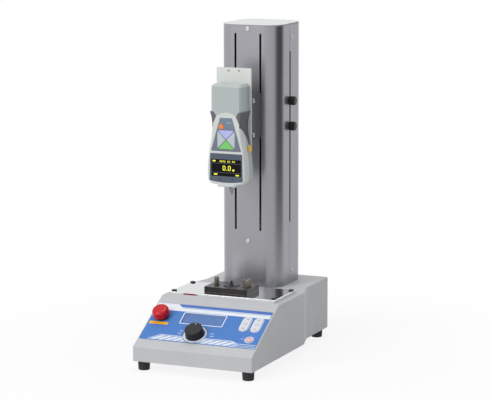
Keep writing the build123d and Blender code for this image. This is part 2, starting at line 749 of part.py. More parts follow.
def make_bottom_plate():
    """Sheet that closes the base from below, with two rows of vents."""
    plan = base_plan(BASE_WALL + BOTTOM_PLATE_CLEARANCE)
    top = BASE_Z + BOTTOM_PLATE_THICKNESS
    plate = prism_z(plan, BASE_Z, top)
    for side in (-1, 1):
        for index in range(VENT_COUNT):
            y = (index - (VENT_COUNT - 1) / 2) * VENT_PITCH
            slot = Pos(side * BASE_WIDTH / 5, y) * SlotOverall(VENT_LENGTH, VENT_WIDTH)
            plate -= prism_z(slot, BASE_Z - OVERSHOOT, top + OVERSHOOT)
    for x, y in foot_places() + boss_places():
        plate -= rod_z(x, y, BASE_Z - OVERSHOOT, top + OVERSHOOT, PLATE_HOLE_RADIUS)
    return plate


def make_rubber_feet():
    """Four tapered feet, each with a recess for its screw."""
    feet = []
    for x, y in foot_places():
        foot = Pos(x, y, FOOT_HEIGHT / 2) * Cone(FOOT_BOTTOM_RADIUS, FOOT_TOP_RADIUS, FOOT_HEIGHT)
        foot = fillet(foot.edges().group_by(Axis.Z)[0], FOOT_EDGE_RADIUS)
        foot -= rod_z(x, y, -OVERSHOOT, FOOT_RECESS_DEPTH, FOOT_RECESS_RADIUS)
        foot -= rod_z(x, y, -OVERSHOOT, FOOT_HEIGHT + OVERSHOOT, PLATE_HOLE_RADIUS)
        feet.append(foot)
    return group(feet)


def make_base_screws():
    """Screws of the feet, the bottom plate and the rear panel."""
    screws = []
    for x, y in foot_places():
        length = FOOT_HEIGHT - FOOT_RECESS_DEPTH + BOTTOM_PLATE_THICKNESS + SCREW_BITE
        screw = cap_screw(*FOOT_SCREW_HEAD, PLATE_SCREW_RADIUS, length)
        screws.append(Pos(x, y, FOOT_RECESS_DEPTH) * DOWN * screw)
    for x, y in boss_places():
        screw = cap_screw(*PLATE_SCREW_HEAD, SMALL_SCREW_RADIUS, PLATE_SCREW_LENGTH)
        screws.append(Pos(x, y, BASE_Z) * DOWN * screw)
    for x, z in rear_screw_places():
        length = BASE_WALL + REAR_PANEL_THICKNESS + SCREW_BITE / 2
        head_height = SMALL_HOLE_RADIUS - FRAME_CLEAR
        screw = countersunk_screw(REAR_SCREW_HEAD, head_height, SMALL_SCREW_RADIUS, length)
        screws.append(Pos(x, REAR_Y, z) * BACKWARD * screw)
    return group(screws)


def make_power_inlet():
    """Mains inlet with three contacts in its socket and a frame for the rocker switch."""
    face = REAR_Y - BASE_WALL
    middle = rear_opening()
    half_w, half_h = INLET_WIDTH / 2, INLET_HEIGHT / 2
    x = INLET_X
    body = block(
        x - half_w + ROCKER_GAP, x + half_w - ROCKER_GAP, face - INLET_DEPTH, face,
        middle - half_h + ROCKER_GAP, middle + half_h - ROCKER_GAP,
    )
    lap = INLET_FLANGE_LAP
    flange = block(
        x - half_w - lap, x + half_w + lap, face, face + INLET_FLANGE_THICKNESS,
        middle - half_h - lap, middle + half_h + lap,
    )
    body += fillet(flange.edges().filter_by(Axis.Y), INLET_CORNER)
    socket_z = inlet_socket_height()
    front = face + INLET_FLANGE_THICKNESS
    socket = block(
        x - SOCKET_WIDTH / 2, x + SOCKET_WIDTH / 2, front - SOCKET_DEPTH, front + OVERSHOOT,
        socket_z - SOCKET_HEIGHT / 2, socket_z + SOCKET_HEIGHT / 2,
    )
    lower_edges = socket.edges().filter_by(Axis.Y).group_by(Axis.Z)[0]
    body -= chamfer(lower_edges, SOCKET_CORNER)
    rises = (CONTACT_STAGGER, -CONTACT_STAGGER, CONTACT_STAGGER)
    for across, rise in zip((-CONTACT_PITCH, 0, CONTACT_PITCH), rises):
        body += block(
            x + across - CONTACT_THICKNESS / 2, x + across + CONTACT_THICKNESS / 2,
            front - SOCKET_DEPTH, front - SOCKET_DEPTH + CONTACT_LENGTH,
            socket_z + rise - CONTACT_WIDTH / 2, socket_z + rise + CONTACT_WIDTH / 2,
        )
    rocker_z = rocker_height()
    body -= block(
        x - ROCKER_WIDTH / 2 - ROCKER_GAP, x + ROCKER_WIDTH / 2 + ROCKER_GAP,
        front - ROCKER_WELL_DEPTH, front + OVERSHOOT,
        rocker_z - ROCKER_HEIGHT / 2 - ROCKER_SWING_ROOM, rocker_z + ROCKER_HEIGHT / 2 + ROCKER_SWING_ROOM,
    )
    pin_end = ROCKER_WIDTH / 2 + ROCKER_PIN_REACH + ROCKER_GAP
    body -= rod_x(
        rocker_axis_y(), rocker_z,
        x - pin_end, x + pin_end, ROCKER_PIN_RADIUS + RUNNING_FIT,
    )
    return body


def inlet_socket_height():
    """Height of the middle of the inlet's socket."""
    return rear_opening() - INLET_HEIGHT / 2 + SOCKET_HEIGHT / 2 + INLET_MARGIN


def rocker_height():
    """Height of the middle of the rocker switch."""
    return rear_opening() + INLET_HEIGHT / 2 - ROCKER_HEIGHT / 2 - INLET_MARGIN


def rocker_axis_y():
    """Depth of the rocker's pin."""
    return REAR_Y - BASE_WALL + INLET_FLANGE_THICKNESS - ROCKER_AXIS_DEPTH


def make_power_rocker():
    """Rocker tilted to its off side, on a pin through its middle."""
    axis_y, z = rocker_axis_y(), rocker_height()
    front = axis_y + ROCKER_AXIS_DEPTH - 0.4
    half = ROCKER_HEIGHT / 2 - 0.7
    shoulder_y, root_y = axis_y - 1.5, axis_y - 3.0
    back = Polyline(
        (front, -half), (shoulder_y, -half * 0.75), (root_y, 0), (shoulder_y, half * 0.75), (front, half)
    )
    face = ThreePointArc((front, half), (front - ROCKER_HOLLOW, 0), (front, -half))
    side = make_face(back + face)
    left, right = INLET_X - ROCKER_WIDTH / 2, INLET_X + ROCKER_WIDTH / 2
    body = prism_x(Pos(0, z) * side, left, right)
    pin = rod_x(axis_y, z, left - ROCKER_PIN_REACH, right + ROCKER_PIN_REACH, ROCKER_PIN_RADIUS)
    turned = Pos(0, axis_y, z) * Rot(-ROCKER_TILT, 0, 0) * Pos(0, -axis_y, -z) * body
    return turned + pin


def make_power_supply():
    """Open-frame power supply on four feet inside the base."""
    y1 = REAR_Y - SUPPLY_FROM_REAR
    y0 = y1 - SUPPLY_LENGTH
    x0, x1 = SUPPLY_X - SUPPLY_WIDTH / 2, SUPPLY_X + SUPPLY_WIDTH / 2
    floor = BASE_Z + BOTTOM_PLATE_THICKNESS
    board = block(x0, x1, y0, y1, floor + SUPPLY_LIFT, floor + SUPPLY_LIFT + BOARD_THICKNESS)
    for x in (x0 + STANDOFF_INSET, x1 - STANDOFF_INSET):
        for y in (y0 + STANDOFF_INSET, y1 - STANDOFF_INSET):
            board += rod_z(x, y, floor, floor + SUPPLY_LIFT + BOARD_THICKNESS, STANDOFF_RADIUS)
    deck = floor + SUPPLY_LIFT + BOARD_THICKNESS
    tall = floor + SUPPLY_HEIGHT
    low_top = tall - SUPPLY_STEP
    across, along = TRANSFORMER_WIDTH / 2, TRANSFORMER_LENGTH / 2
    middle_y = (y0 + y1) / 2
    board += block(SUPPLY_X - across, SUPPLY_X + across, middle_y - along, middle_y + along, deck, tall)
    for side in (-1, 1):
        x = SUPPLY_X + side * 2 * CAPACITOR_RADIUS
        board += rod_z(x, y0 + 2 * CAPACITOR_RADIUS, deck, low_top, CAPACITOR_RADIUS)
    fin_y = y1 - 2 * CAPACITOR_RADIUS
    fin_x0, fin_x1 = SUPPLY_X - HEAT_SINK_WIDTH / 2, SUPPLY_X + HEAT_SINK_WIDTH / 2
    board += block(fin_x0, fin_x1, fin_y, fin_y + SUPPLY_LIFT, deck, low_top)
    return board


# Control panel

def arrow_key_outline(grow):
    """Pill outline of an arrow key, its long axis up the slope."""
    return Rot(0, 0, 90) * SlotOverall(ARROW_KEY_LENGTH + 2 * grow, ARROW_KEY_WIDTH + 2 * grow)


def make_control_overlay():
    """Printed skin on the panel, cut out for everything that passes through it."""
    middle = OVERLAY_START + OVERLAY_LENGTH / 2
    sheet = RectangleRounded(OVERLAY_WIDTH, OVERLAY_LENGTH, OVERLAY_CORNER)
    skin = on_panel(0, middle) * extrude(sheet, amount=OVERLAY_THICKNESS)
    skin -= panel_rod(ESTOP_X, ESTOP_S, -1, 2, ESTOP_BARREL_RADIUS + PANEL_FIT)
    skin -= panel_rod(DIAL_X, DIAL_S, -1, 2, DIAL_BUSH_RADIUS + PANEL_FIT)
    skin -= panel_block(LCD_X, LCD_S, LCD_WIDTH + PANEL_FIT, LCD_LENGTH + PANEL_FIT, -1, 2)
    skin -= panel_rod(POWER_KEY_X, POWER_KEY_S, -1, 2, POWER_KEY_RADIUS + PANEL_FIT)
    for x in (UP_KEY_X, DOWN_KEY_X):
        skin -= on_panel(x, ARROW_KEY_S, -1) * extrude(arrow_key_outline(PANEL_FIT), amount=3)
    return skin


def make_lcd_window():
    """Clear window flush with the overlay."""
    top = OVERLAY_THICKNESS
    pane = panel_block(LCD_X, LCD_S, LCD_WIDTH, LCD_LENGTH, top - LCD_WINDOW_THICKNESS, top)
    return pane


def make_control_board():
    """Circuit board on four standoffs, with key switches and the display module in front of it."""
    low = -BOARD_DEPTH - BOARD_THICKNESS
    board = panel_block(BOARD_X, BOARD_S, BOARD_WIDTH, BOARD_LENGTH, low, -BOARD_DEPTH)
    half_x, half_s = BOARD_WIDTH / 2 - STANDOFF_INSET, BOARD_LENGTH / 2 - STANDOFF_INSET
    for x in (BOARD_X - half_x, BOARD_X + half_x):
        for s in (BOARD_S - half_s, BOARD_S + half_s):
            board += panel_rod(x, s, -BOARD_DEPTH, -BASE_WALL, STANDOFF_RADIUS)
    for x, s in key_stem_places():
        board += panel_block(x, s, SWITCH_SIDE, SWITCH_SIDE, -BOARD_DEPTH, -BOARD_DEPTH + SWITCH_HEIGHT)
    module = panel_block(
        LCD_X, LCD_S, LCD_WIDTH + 2 * LCD_MODULE_MARGIN, LCD_LENGTH + LCD_MODULE_MARGIN,
        -BOARD_DEPTH, -BASE_WALL - 0.2,
    )
    glass_top = OVERLAY_THICKNESS - LCD_WINDOW_THICKNESS
    module += panel_block(LCD_X, LCD_S, LCD_WIDTH - 1, LCD_LENGTH - 1, -BASE_WALL - 0.2, glass_top)
    return group([board, module])


def make_panel_key(face, x, s):
    """Key cap with a stem down to its switch."""
    cap = on_panel(x, s, KEY_RISE) * extrude(face, amount=KEY_THICKNESS)
    stem_end = -BOARD_DEPTH + SWITCH_HEIGHT + KEY_TRAVEL + 0.2
    cap = chamfer(panel_top_face(cap).edges(), 0.3)
    return cap + panel_rod(x, s, stem_end, KEY_RISE + KEY_THICKNESS / 2, KEY_STEM_RADIUS)


def panel_top_face(solid):
    """Face of a solid that lies furthest out of the control panel."""
    return solid.faces().sort_by(Axis(PANEL.origin, PANEL.z_dir))[-1]


def make_arrow_key(x):
    """Pill-shaped jog key."""
    return make_panel_key(arrow_key_outline(0), x, ARROW_KEY_S)


def make_power_key():
    """Round power key."""
    return make_panel_key(Circle(POWER_KEY_RADIUS), POWER_KEY_X, POWER_KEY_S)


def make_speed_encoder():
    """Rotary encoder on the board, its threaded bush through the panel, and the bush's nut."""
    body = panel_block(DIAL_X, DIAL_S, ENCODER_SIDE, ENCODER_SIDE, -BOARD_DEPTH, -BASE_WALL)
    bush_top = OVERLAY_THICKNESS + DIAL_NUT_HEIGHT + 0.8
    body += panel_rod(DIAL_X, DIAL_S, -BASE_WALL - 1, bush_top, DIAL_BUSH_RADIUS)
    bore = DIAL_SHAFT_RADIUS + DIAL_SHAFT_FIT
    body -= panel_rod(DIAL_X, DIAL_S, -BOARD_DEPTH + 1.5, bush_top + 1, bore)
    nut = on_panel(DIAL_X, DIAL_S, OVERLAY_THICKNESS) * extrude(
        RegularPolygon(DIAL_NUT_FLATS / 2, 6, major_radius=False), amount=DIAL_NUT_HEIGHT
    )
    nut -= panel_rod(DIAL_X, DIAL_S, 0, bush_top, DIAL_BUSH_RADIUS + DIAL_SHAFT_FIT)
    return group([body, nut])


def make_speed_dial():
    """Fluted knob with a pointer groove, on its shaft."""
    low = OVERLAY_THICKNESS + DIAL_LIFT
    knob = Pos(0, 0, DIAL_HEIGHT / 2) * Cone(DIAL_RADIUS, DIAL_TOP_RADIUS, DIAL_HEIGHT)
    knob = fillet(knob.edges().group_by(Axis.Z)[-1], 1.2)
    for index in range(DIAL_FLUTES):
        turn = Rot(0, 0, index * 360 / DIAL_FLUTES)
        place = Pos(DIAL_RADIUS + 0.2, 0, DIAL_HEIGHT / 2 + 3)
        knob -= turn * place * Cylinder(DIAL_FLUTE_RADIUS, DIAL_HEIGHT)
    knob -= Pos(0, 0, 2) * Cylinder(DIAL_NUT_FLATS * 0.7, 4)
    knob -= Pos(0, DIAL_TOP_RADIUS * 0.62, DIAL_HEIGHT) * Box(1.6, DIAL_TOP_RADIUS * 0.7, 0.8)
    shaft_length = DIAL_HEIGHT * 0.75
    knob -= Pos(0, 0, shaft_length / 2) * Cylinder(DIAL_SHAFT_RADIUS, shaft_length)
    shaft = panel_rod(DIAL_X, DIAL_S, -BOARD_DEPTH + 2, low + shaft_length, DIAL_SHAFT_RADIUS)
    return group([on_panel(DIAL_X, DIAL_S, low) * knob, shaft])


def estop_turned(points):
    """Solid turned about the emergency stop's axis from its half section in radius and height."""
    half = Plane.XZ * outline(points)
    return on_panel(ESTOP_X, ESTOP_S) * revolve(half, Axis.Z)


def make_estop_body():
    """Collar, threaded barrel and neck, with the ring nut and contact block behind the panel."""
    bore = ESTOP_STEM_RADIUS + ESTOP_STEM_FIT
    collar_low = OVERLAY_THICKNESS
    collar_top = collar_low + ESTOP_COLLAR_HEIGHT
    barrel = estop_turned([
        (bore, -ESTOP_BARREL_LENGTH), (ESTOP_BARREL_RADIUS, -ESTOP_BARREL_LENGTH),
        (ESTOP_BARREL_RADIUS, collar_low), (ESTOP_COLLAR_RADIUS, collar_low),
        (ESTOP_COLLAR_RADIUS, collar_top - 0.5), (ESTOP_COLLAR_RADIUS - 0.5, collar_top),
        (ESTOP_NECK_RADIUS, collar_top), (ESTOP_NECK_RADIUS, collar_top + ESTOP_NECK_HEIGHT),
        (bore, collar_top + ESTOP_NECK_HEIGHT),
    ])
    nut = panel_rod(ESTOP_X, ESTOP_S, -BASE_WALL - 4, -BASE_WALL, ESTOP_NUT_RADIUS)
    nut -= panel_rod(ESTOP_X, ESTOP_S, -BASE_WALL - 5, 0, ESTOP_BARREL_RADIUS + ESTOP_STEM_FIT)
    low = -ESTOP_BARREL_LENGTH - ESTOP_BLOCK_LENGTH
    contacts = panel_block(ESTOP_X, ESTOP_S, ESTOP_BLOCK_SIDE, ESTOP_BLOCK_SIDE, low, -ESTOP_BARREL_LENGTH)
    contacts -= panel_rod(ESTOP_X, ESTOP_S, -ESTOP_BARREL_LENGTH - ESTOP_TRAVEL - 4, 0, bore)
    return group([barrel, nut, contacts])


def make_estop_plunger():
    """Sliding stem that the mushroom head turns on."""
    shoulder = ESTOP_HEAD_BOTTOM + ESTOP_SKIRT_DEPTH - ESTOP_SHOULDER_CLEAR
    low = -ESTOP_BARREL_LENGTH - 2
    return estop_turned([
        (0, low), (ESTOP_STEM_RADIUS, low), (ESTOP_STEM_RADIUS, shoulder),
        (ESTOP_SPIGOT_RADIUS, shoulder), (ESTOP_SPIGOT_RADIUS, shoulder + 4), (0, shoulder + 4),
    ])


def make_estop_head():
    """Mushroom head with a round shoulder, hollow below, with a socket for the stem's spigot."""
    hub = ESTOP_HEAD_BOTTOM + ESTOP_SKIRT_DEPTH
    fit = ESTOP_SPIGOT_RADIUS + ESTOP_STEM_FIT
    radius, top, low = ESTOP_HEAD_RADIUS, ESTOP_HEAD_TOP, ESTOP_HEAD_BOTTOM
    head = Pos(0, 0, (low + top) / 2) * Cylinder(radius, top - low)
    head = fillet(head.edges().group_by(Axis.Z)[-1], ESTOP_SHOULDER_RADIUS)
    head = chamfer(head.edges().group_by(Axis.Z)[0], 1.0)
    head -= Pos(0, 0, (low - 1 + hub) / 2) * Cylinder(ESTOP_SKIRT_RADIUS, hub - low + 1)
    head -= Pos(0, 0, hub + 2) * Cylinder(fit, 4.2)
    return on_panel(ESTOP_X, ESTOP_S) * head


# Table and fixture

def make_table_plate():
    """Polished steel plate on the deck, with tapped holes round the fixture."""
    front, rear = AXIS_Y - TABLE_FRONT_REACH, AXIS_Y + TABLE_REAR_REACH
    plate = block(-TABLE_WIDTH / 2, TABLE_WIDTH / 2, front, rear, DECK_Z, TABLE_Z)
    plate = chamfer(plate.edges().group_by(Axis.Z)[-1], TABLE_EDGE_CHAMFER)
    for x, y in table_hole_places() + table_screw_places():
        plate -= rod_z(x, y, DECK_Z - 1, TABLE_Z + 1, TABLE_HOLE_RADIUS)
    for side in (-1, 1):
        x, y = thumbscrew_place(side)
        plate -= rod_z(x, y, DECK_Z - 1, TABLE_Z + 1, THUMBSCREW_SHANK_RADIUS + RUNNING_FIT)
    return plate


def make_table_screws():
    """Dark button-head screws at the plate's corners."""
    length = TABLE_THICKNESS + BASE_WALL
    return group([
        Pos(x, y, TABLE_Z) * cap_screw(5.0, 2.0, TABLE_HOLE_RADIUS - ROD_FIT, length)
        for x, y in table_screw_places()
    ])


def thumbscrew_place(side):
    """Centre of the left (-1) or right (1) thumbscrew."""
    return side * THUMBSCREW_X, AXIS_Y + THUMBSCREW_OFFSET


def make_fixture_block():
    """Black fixture block under the gauge's axis, with its centre pin."""
    half_x, half_y = FIXTURE_WIDTH / 2, FIXTURE_LENGTH / 2
    body = block(-half_x, half_x, AXIS_Y - half_y, AXIS_Y + half_y, TABLE_Z, FIXTURE_Z)
    body = chamfer(body.edges().group_by(Axis.Z)[-1], FIXTURE_EDGE_CHAMFER)
    for side in (-1, 1):
        x, y = thumbscrew_place(side)
        body -= rod_z(x, y, TABLE_Z - 1, FIXTURE_Z + 1, THUMBSCREW_SHANK_RADIUS + THUMBSCREW_FIT)
    sink = FIXTURE_THICKNESS / 2
    body -= rod_z(0, AXIS_Y, FIXTURE_Z - sink, FIXTURE_Z + 1, FIXTURE_PIN_RADIUS)
    pin = rod_z(0, AXIS_Y, FIXTURE_Z - sink, FIXTURE_Z + FIXTURE_PIN_HEIGHT, FIXTURE_PIN_RADIUS)
    pin = chamfer(pin.edges().group_by(Axis.Z)[-1], 0.5)
    pin += rod_z(0, AXIS_Y, FIXTURE_Z, FIXTURE_Z + FIXTURE_DISC_HEIGHT, FIXTURE_DISC_RADIUS)
    pin += rod_z(0, AXIS_Y, FIXTURE_Z, FIXTURE_Z + FIXTURE_COLLAR_HEIGHT, FIXTURE_COLLAR_RADIUS)
    return group([body, pin])


def make_thumbscrew(side, radius, height):
    """Knurled thumbscrew with a broad washer face."""
    x, y = thumbscrew_place(side)
    seat = Pos(0, 0, THUMBSCREW_SEAT / 2) * Cylinder(radius + THUMBSCREW_FLANGE, THUMBSCREW_SEAT)
    head_height = height - THUMBSCREW_SEAT
    head = Pos(0, 0, THUMBSCREW_SEAT + head_height / 2) * Cylinder(radius, head_height)
    head = chamfer(head.edges(), 0.5)
    for index in range(THUMBSCREW_GROOVES):
        turn = Rot(0, 0, index * 360 / THUMBSCREW_GROOVES)
        head -= turn * Pos(radius + 0.15, 0, THUMBSCREW_SEAT + head_height / 2) * Cylinder(0.5, head_height)
    head -= Pos(0, 0, height) * Cylinder(radius * 0.55, 1.2)
    reach = FIXTURE_THICKNESS + TABLE_THICKNESS - 0.5
    shank = Pos(0, 0, -reach / 2) * Cylinder(THUMBSCREW_SHANK_RADIUS, reach)
    return Pos(x, y, FIXTURE_Z) * (head + seat + shank)


# Column

def column_front_outline(inset, back=SEAM_Y):
    """Plan of the column's front half, drawn in by a wall or a clearance."""
    half = COLUMN_WIDTH / 2 - inset
    front = COLUMN_Y + inset
    face = Pos(0, (front + back) / 2) * Rectangle(2 * half, back - front)
    corners = face.vertices().group_by(Axis.Y)[0]
    return fillet(corners, COLUMN_FRONT_RADIUS - inset)


def column_rear_outline(inset, front=SEAM_Y):
    """Plan of the column's rear cover, drawn in by a wall or a clearance."""
    half = COLUMN_WIDTH / 2 - inset
    back = COLUMN_REAR_Y - inset
    face = Pos(0, (front + back) / 2) * Rectangle(2 * half, back - front)
    corners = face.vertices().group_by(Axis.Y)[-1]
    return fillet(corners, COLUMN_REAR_RADIUS - inset)


def frame_plan():
    """Plan of the plates that fit inside the column."""
    inset = COLUMN_WALL + FRAME_FIT
    return column_front_outline(inset) + column_rear_outline(inset)


def arm_slot(side):
    """Cutter for one of the two slots that the arms run in."""
    height = SLOT_TOP_Z - SLOT_BOTTOM_Z
    middle = (SLOT_TOP_Z + SLOT_BOTTOM_Z) / 2
    face = Pos(side * ARM_SPACING / 2, middle) * Rot(0, 0, 90) * SlotOverall(height, ARM_SLOT_WIDTH)
    return prism_y(face, COLUMN_Y - 1, COLUMN_Y + COLUMN_WALL + 1)


def make_column_shell():
    """Front half of the column, with broad round corners and two arm slots."""
    shell = prism_z(column_front_outline(0), DECK_Z, SHELL_TOP)
    shell -= prism_z(column_front_outline(COLUMN_WALL, SEAM_Y + 1), DECK_Z - 1, SHELL_TOP + 1)
    for side in (-1, 1):
        shell -= arm_slot(side)
    for z in front_screw_heights():
        shell -= rod_y(0, z, COLUMN_Y - OVERSHOOT, COLUMN_Y + COLUMN_WALL + OVERSHOOT, MEDIUM_HOLE_RADIUS)
    return shell


def front_screw_heights():
    """Heights of the two screws in the column's front."""
    half = BEARING_PLATE_THICKNESS / 2
    return LOWER_PLATE_TOP - half, UPPER_PLATE_TOP - half


def side_screw_heights():
    """Heights of the screws in the rear cover's sides."""
    return DECK_Z + SIDE_SCREW_LOW, COLUMN_TOP - SIDE_SCREW_DROP


def make_column_rear_cover():
    """Rear cover, cut back on the right for the limit clamps' stems."""
    cover = prism_z(column_rear_outline(0, SEAM_Y + COLUMN_SEAM), DECK_Z, SHELL_TOP)
    cover -= prism_z(column_rear_outline(COLUMN_WALL, SEAM_Y - 1), DECK_Z - 1, SHELL_TOP + 1)
    cover -= block(
        COVER_INNER_X - 1, COLUMN_WIDTH / 2 + 1, SEAM_Y - 1, SEAM_Y + SIDE_SLOT_DEPTH,
        DECK_Z + SIDE_SLOT_BOTTOM, DECK_Z + SIDE_SLOT_TOP,
    )
    for z in side_screw_heights():
        cover -= side_screw_holes(z)
    for index in range(VENT_COUNT):
        z = DECK_Z + COLUMN_VENT_HEIGHT + index * VENT_PITCH
        slot = Pos(0, z) * SlotOverall(VENT_LENGTH, VENT_WIDTH)
        cover -= prism_y(slot, COLUMN_REAR_Y - COLUMN_WALL - 1, COLUMN_REAR_Y + 1)
    return cover


def make_column_cap():
    """Flat lid over both halves of the column."""
    plan = column_front_outline(0) + column_rear_outline(0)
    lid = prism_z(plan, SHELL_TOP, COLUMN_TOP)
    return fillet(lid.edges().group_by(Axis.Z)[-1], CAP_EDGE_RADIUS)


def make_column_screws():
    """Screws in the column's front and sides, and those that hold it to the deck."""
    front_screw = cap_screw(*FRONT_SCREW_HEAD, MEDIUM_SCREW_RADIUS, COLUMN_WALL + SCREW_BITE)
    screws = [
        Pos(0, COLUMN_Y, z) * FORWARD * front_screw
        for z in front_screw_heights()
    ]
    for z in side_screw_heights():
        for turn, side in ((RIGHT, 1), (LEFT, -1)):
            place = Pos(side * COLUMN_WIDTH / 2, SIDE_SCREW_Y, z)
            length = COLUMN_WALL + FRAME_FIT + FLANGE_THICKNESS
            screws.append(place * turn * cap_screw(*SIDE_SCREW_HEAD, SMALL_SCREW_RADIUS, length))
    for x, y in foot_plate_screw_places():
        length = BASE_WALL + FOOT_PLATE_THICKNESS
        screw = cap_screw(*COLUMN_BOLT_HEAD, COLUMN_BOLT_RADIUS, length)
        screws.append(Pos(x, y, DECK_Z - BASE_WALL) * DOWN * screw)
    return group(screws)


def side_flanges(z0, z1):
    """Two upright flanges that the rear cover's side screws enter."""
    outer = COVER_INNER_X - FRAME_FIT
    half = FLANGE_LENGTH / 2
    right = block(outer - FLANGE_THICKNESS, outer, SIDE_SCREW_Y - half, SIDE_SCREW_Y + half, z0, z1)
    return right + mirror(right, about=Plane.YZ)


def side_screw_holes(z):
    """Cutter for a pair of side screws' holes."""
    return rod_x(SIDE_SCREW_Y, z, -COLUMN_WIDTH, COLUMN_WIDTH, SMALL_HOLE_RADIUS)


def rod_places():
    """Centres of the two guide rods."""
    return [(-ROD_HALF_SPACING, GUIDE_Y), (ROD_HALF_SPACING, GUIDE_Y)]


def make_column_foot():
    """Foot plate on the deck, with flanges for the cover and seats for the guide rods."""
    foot = prism_z(frame_plan(), DECK_Z, FOOT_PLATE_TOP)
    foot += side_flanges(FOOT_PLATE_TOP, FOOT_PLATE_TOP + FLANGE_HEIGHT)
    foot -= side_screw_holes(side_screw_heights()[0])
    for x, y in rod_places():
        foot -= rod_z(x, y, FOOT_PLATE_TOP - ROD_SEAT, FOOT_PLATE_TOP + OVERSHOOT, ROD_RADIUS + ROD_FIT)
    for x, y in foot_plate_screw_places():
        foot -= rod_z(x, y, DECK_Z - OVERSHOOT, FOOT_PLATE_TOP + OVERSHOOT, COLUMN_BOLT_RADIUS + ROD_FIT)
    foot -= rod_z(0, CABLE_HOLE_Y, DECK_Z - OVERSHOOT, FOOT_PLATE_TOP + OVERSHOOT, CABLE_HOLE_RADIUS)
    return foot


def bearing_plate(z0, z1):
    """Plate across the column, bored for both rods and for a screw bearing."""
    plate = prism_z(frame_plan(), z0, z1)
    for x, y in rod_places():
        plate -= rod_z(x, y, z0 - 1, z1 + 1, ROD_RADIUS + ROD_FIT)
    return plate


def screw_bearing(z0):
    """Bearing of the lead screw, seated in its plate."""
    ring = rod_z(0, GUIDE_Y, z0, z0 + BEARING_HEIGHT, BEARING_RADIUS)
    return ring - rod_z(0, GUIDE_Y, z0 - 1, z0 + BEARING_HEIGHT + 1, SCREW_JOURNAL_RADIUS + RUNNING_FIT)


def make_bearing_plates():
    """Lower and upper plates with the two screw bearings."""
    pocket = BEARING_RADIUS + ROD_FIT
    journal = SCREW_JOURNAL_RADIUS + 1
    lower = bearing_plate(LOWER_PLATE_BOTTOM, LOWER_PLATE_TOP)
    lower_seat = LOWER_PLATE_TOP - BEARING_HEIGHT
    lower -= rod_z(0, GUIDE_Y, lower_seat, LOWER_PLATE_TOP + 1, pocket)
    lower -= rod_z(0, GUIDE_Y, LOWER_PLATE_BOTTOM - 1, LOWER_PLATE_TOP, journal)
    upper = bearing_plate(UPPER_PLATE_BOTTOM, UPPER_PLATE_TOP)
    upper += side_flanges(side_screw_heights()[1] - 8, UPPER_PLATE_BOTTOM)
    upper -= side_screw_holes(side_screw_heights()[1])
    upper -= rod_z(0, GUIDE_Y, UPPER_PLATE_BOTTOM - 1, UPPER_PLATE_BOTTOM + BEARING_HEIGHT, pocket)
    for plate_z in front_screw_heights():
        hole = rod_y(0, plate_z, COLUMN_Y, COLUMN_Y + COLUMN_WALL + SCREW_BITE + 2, MEDIUM_HOLE_RADIUS)
        lower -= hole
        upper -= hole
    return group([lower, upper, screw_bearing(lower_seat), screw_bearing(UPPER_PLATE_BOTTOM)])


def make_guide_rods():
    """Two ground rods from the foot plate to the upper plate."""
    return group([
        rod_z(x, y, FOOT_PLATE_TOP - ROD_SEAT, UPPER_PLATE_TOP, ROD_RADIUS) for x, y in rod_places()
    ])


def pulley(x, y, radius, bore):
    """Flanged belt pulley."""
    wheel = rod_z(x, y, PULLEY_BOTTOM, PULLEY_TOP, radius)
    for z in (PULLEY_BOTTOM, PULLEY_TOP - PULLEY_FLANGE):
        wheel += rod_z(x, y, z, z + PULLEY_FLANGE, radius + PULLEY_FLANGE_LIP)
    return wheel - rod_z(x, y, PULLEY_BOTTOM - 1, PULLEY_TOP + 1, bore)


def make_lead_screw():
    """Lead screw with its two journals, and the pulley on its lower end."""
    screw = rod_z(0, GUIDE_Y, LOWER_PLATE_TOP + 0.3, UPPER_PLATE_BOTTOM - 0.3, SCREW_RADIUS)
    upper_end = UPPER_PLATE_BOTTOM + BEARING_HEIGHT
    screw += rod_z(0, GUIDE_Y, PULLEY_BOTTOM - 2, upper_end - 0.3, SCREW_JOURNAL_RADIUS)
    return group([screw, pulley(0, GUIDE_Y, SCREW_PULLEY_RADIUS, SCREW_JOURNAL_RADIUS + ROD_FIT)])


def make_motor_pulley():
    """Motor shaft with the small pulley on it."""
    shaft = rod_z(0, MOTOR_Y, MOTOR_PLATE_BOTTOM - MOTOR_SHAFT_DEPTH, PULLEY_TOP + 1, MOTOR_SHAFT_RADIUS)
    return group([shaft, pulley(0, MOTOR_Y, MOTOR_PULLEY_RADIUS, MOTOR_SHAFT_RADIUS + ROD_FIT)])


def belt_outline(extra):
    """Loop round both pulleys, a distance out of their rims."""
    big = Pos(0, GUIDE_Y) * Circle(SCREW_PULLEY_RADIUS + extra)
    small = Pos(0, MOTOR_Y) * Circle(MOTOR_PULLEY_RADIUS + extra)
    return make_hull(big.edges() + small.edges())


def make_timing_belt():
    """Belt round the two pulleys, between their flanges."""
    middle = (PULLEY_BOTTOM + PULLEY_TOP) / 2
    low, high = middle - BELT_WIDTH / 2, middle + BELT_WIDTH / 2
    loop = prism_z(belt_outline(BELT_GAP + BELT_THICKNESS), low, high)
    return loop - prism_z(belt_outline(BELT_GAP), low - 1, high + 1)


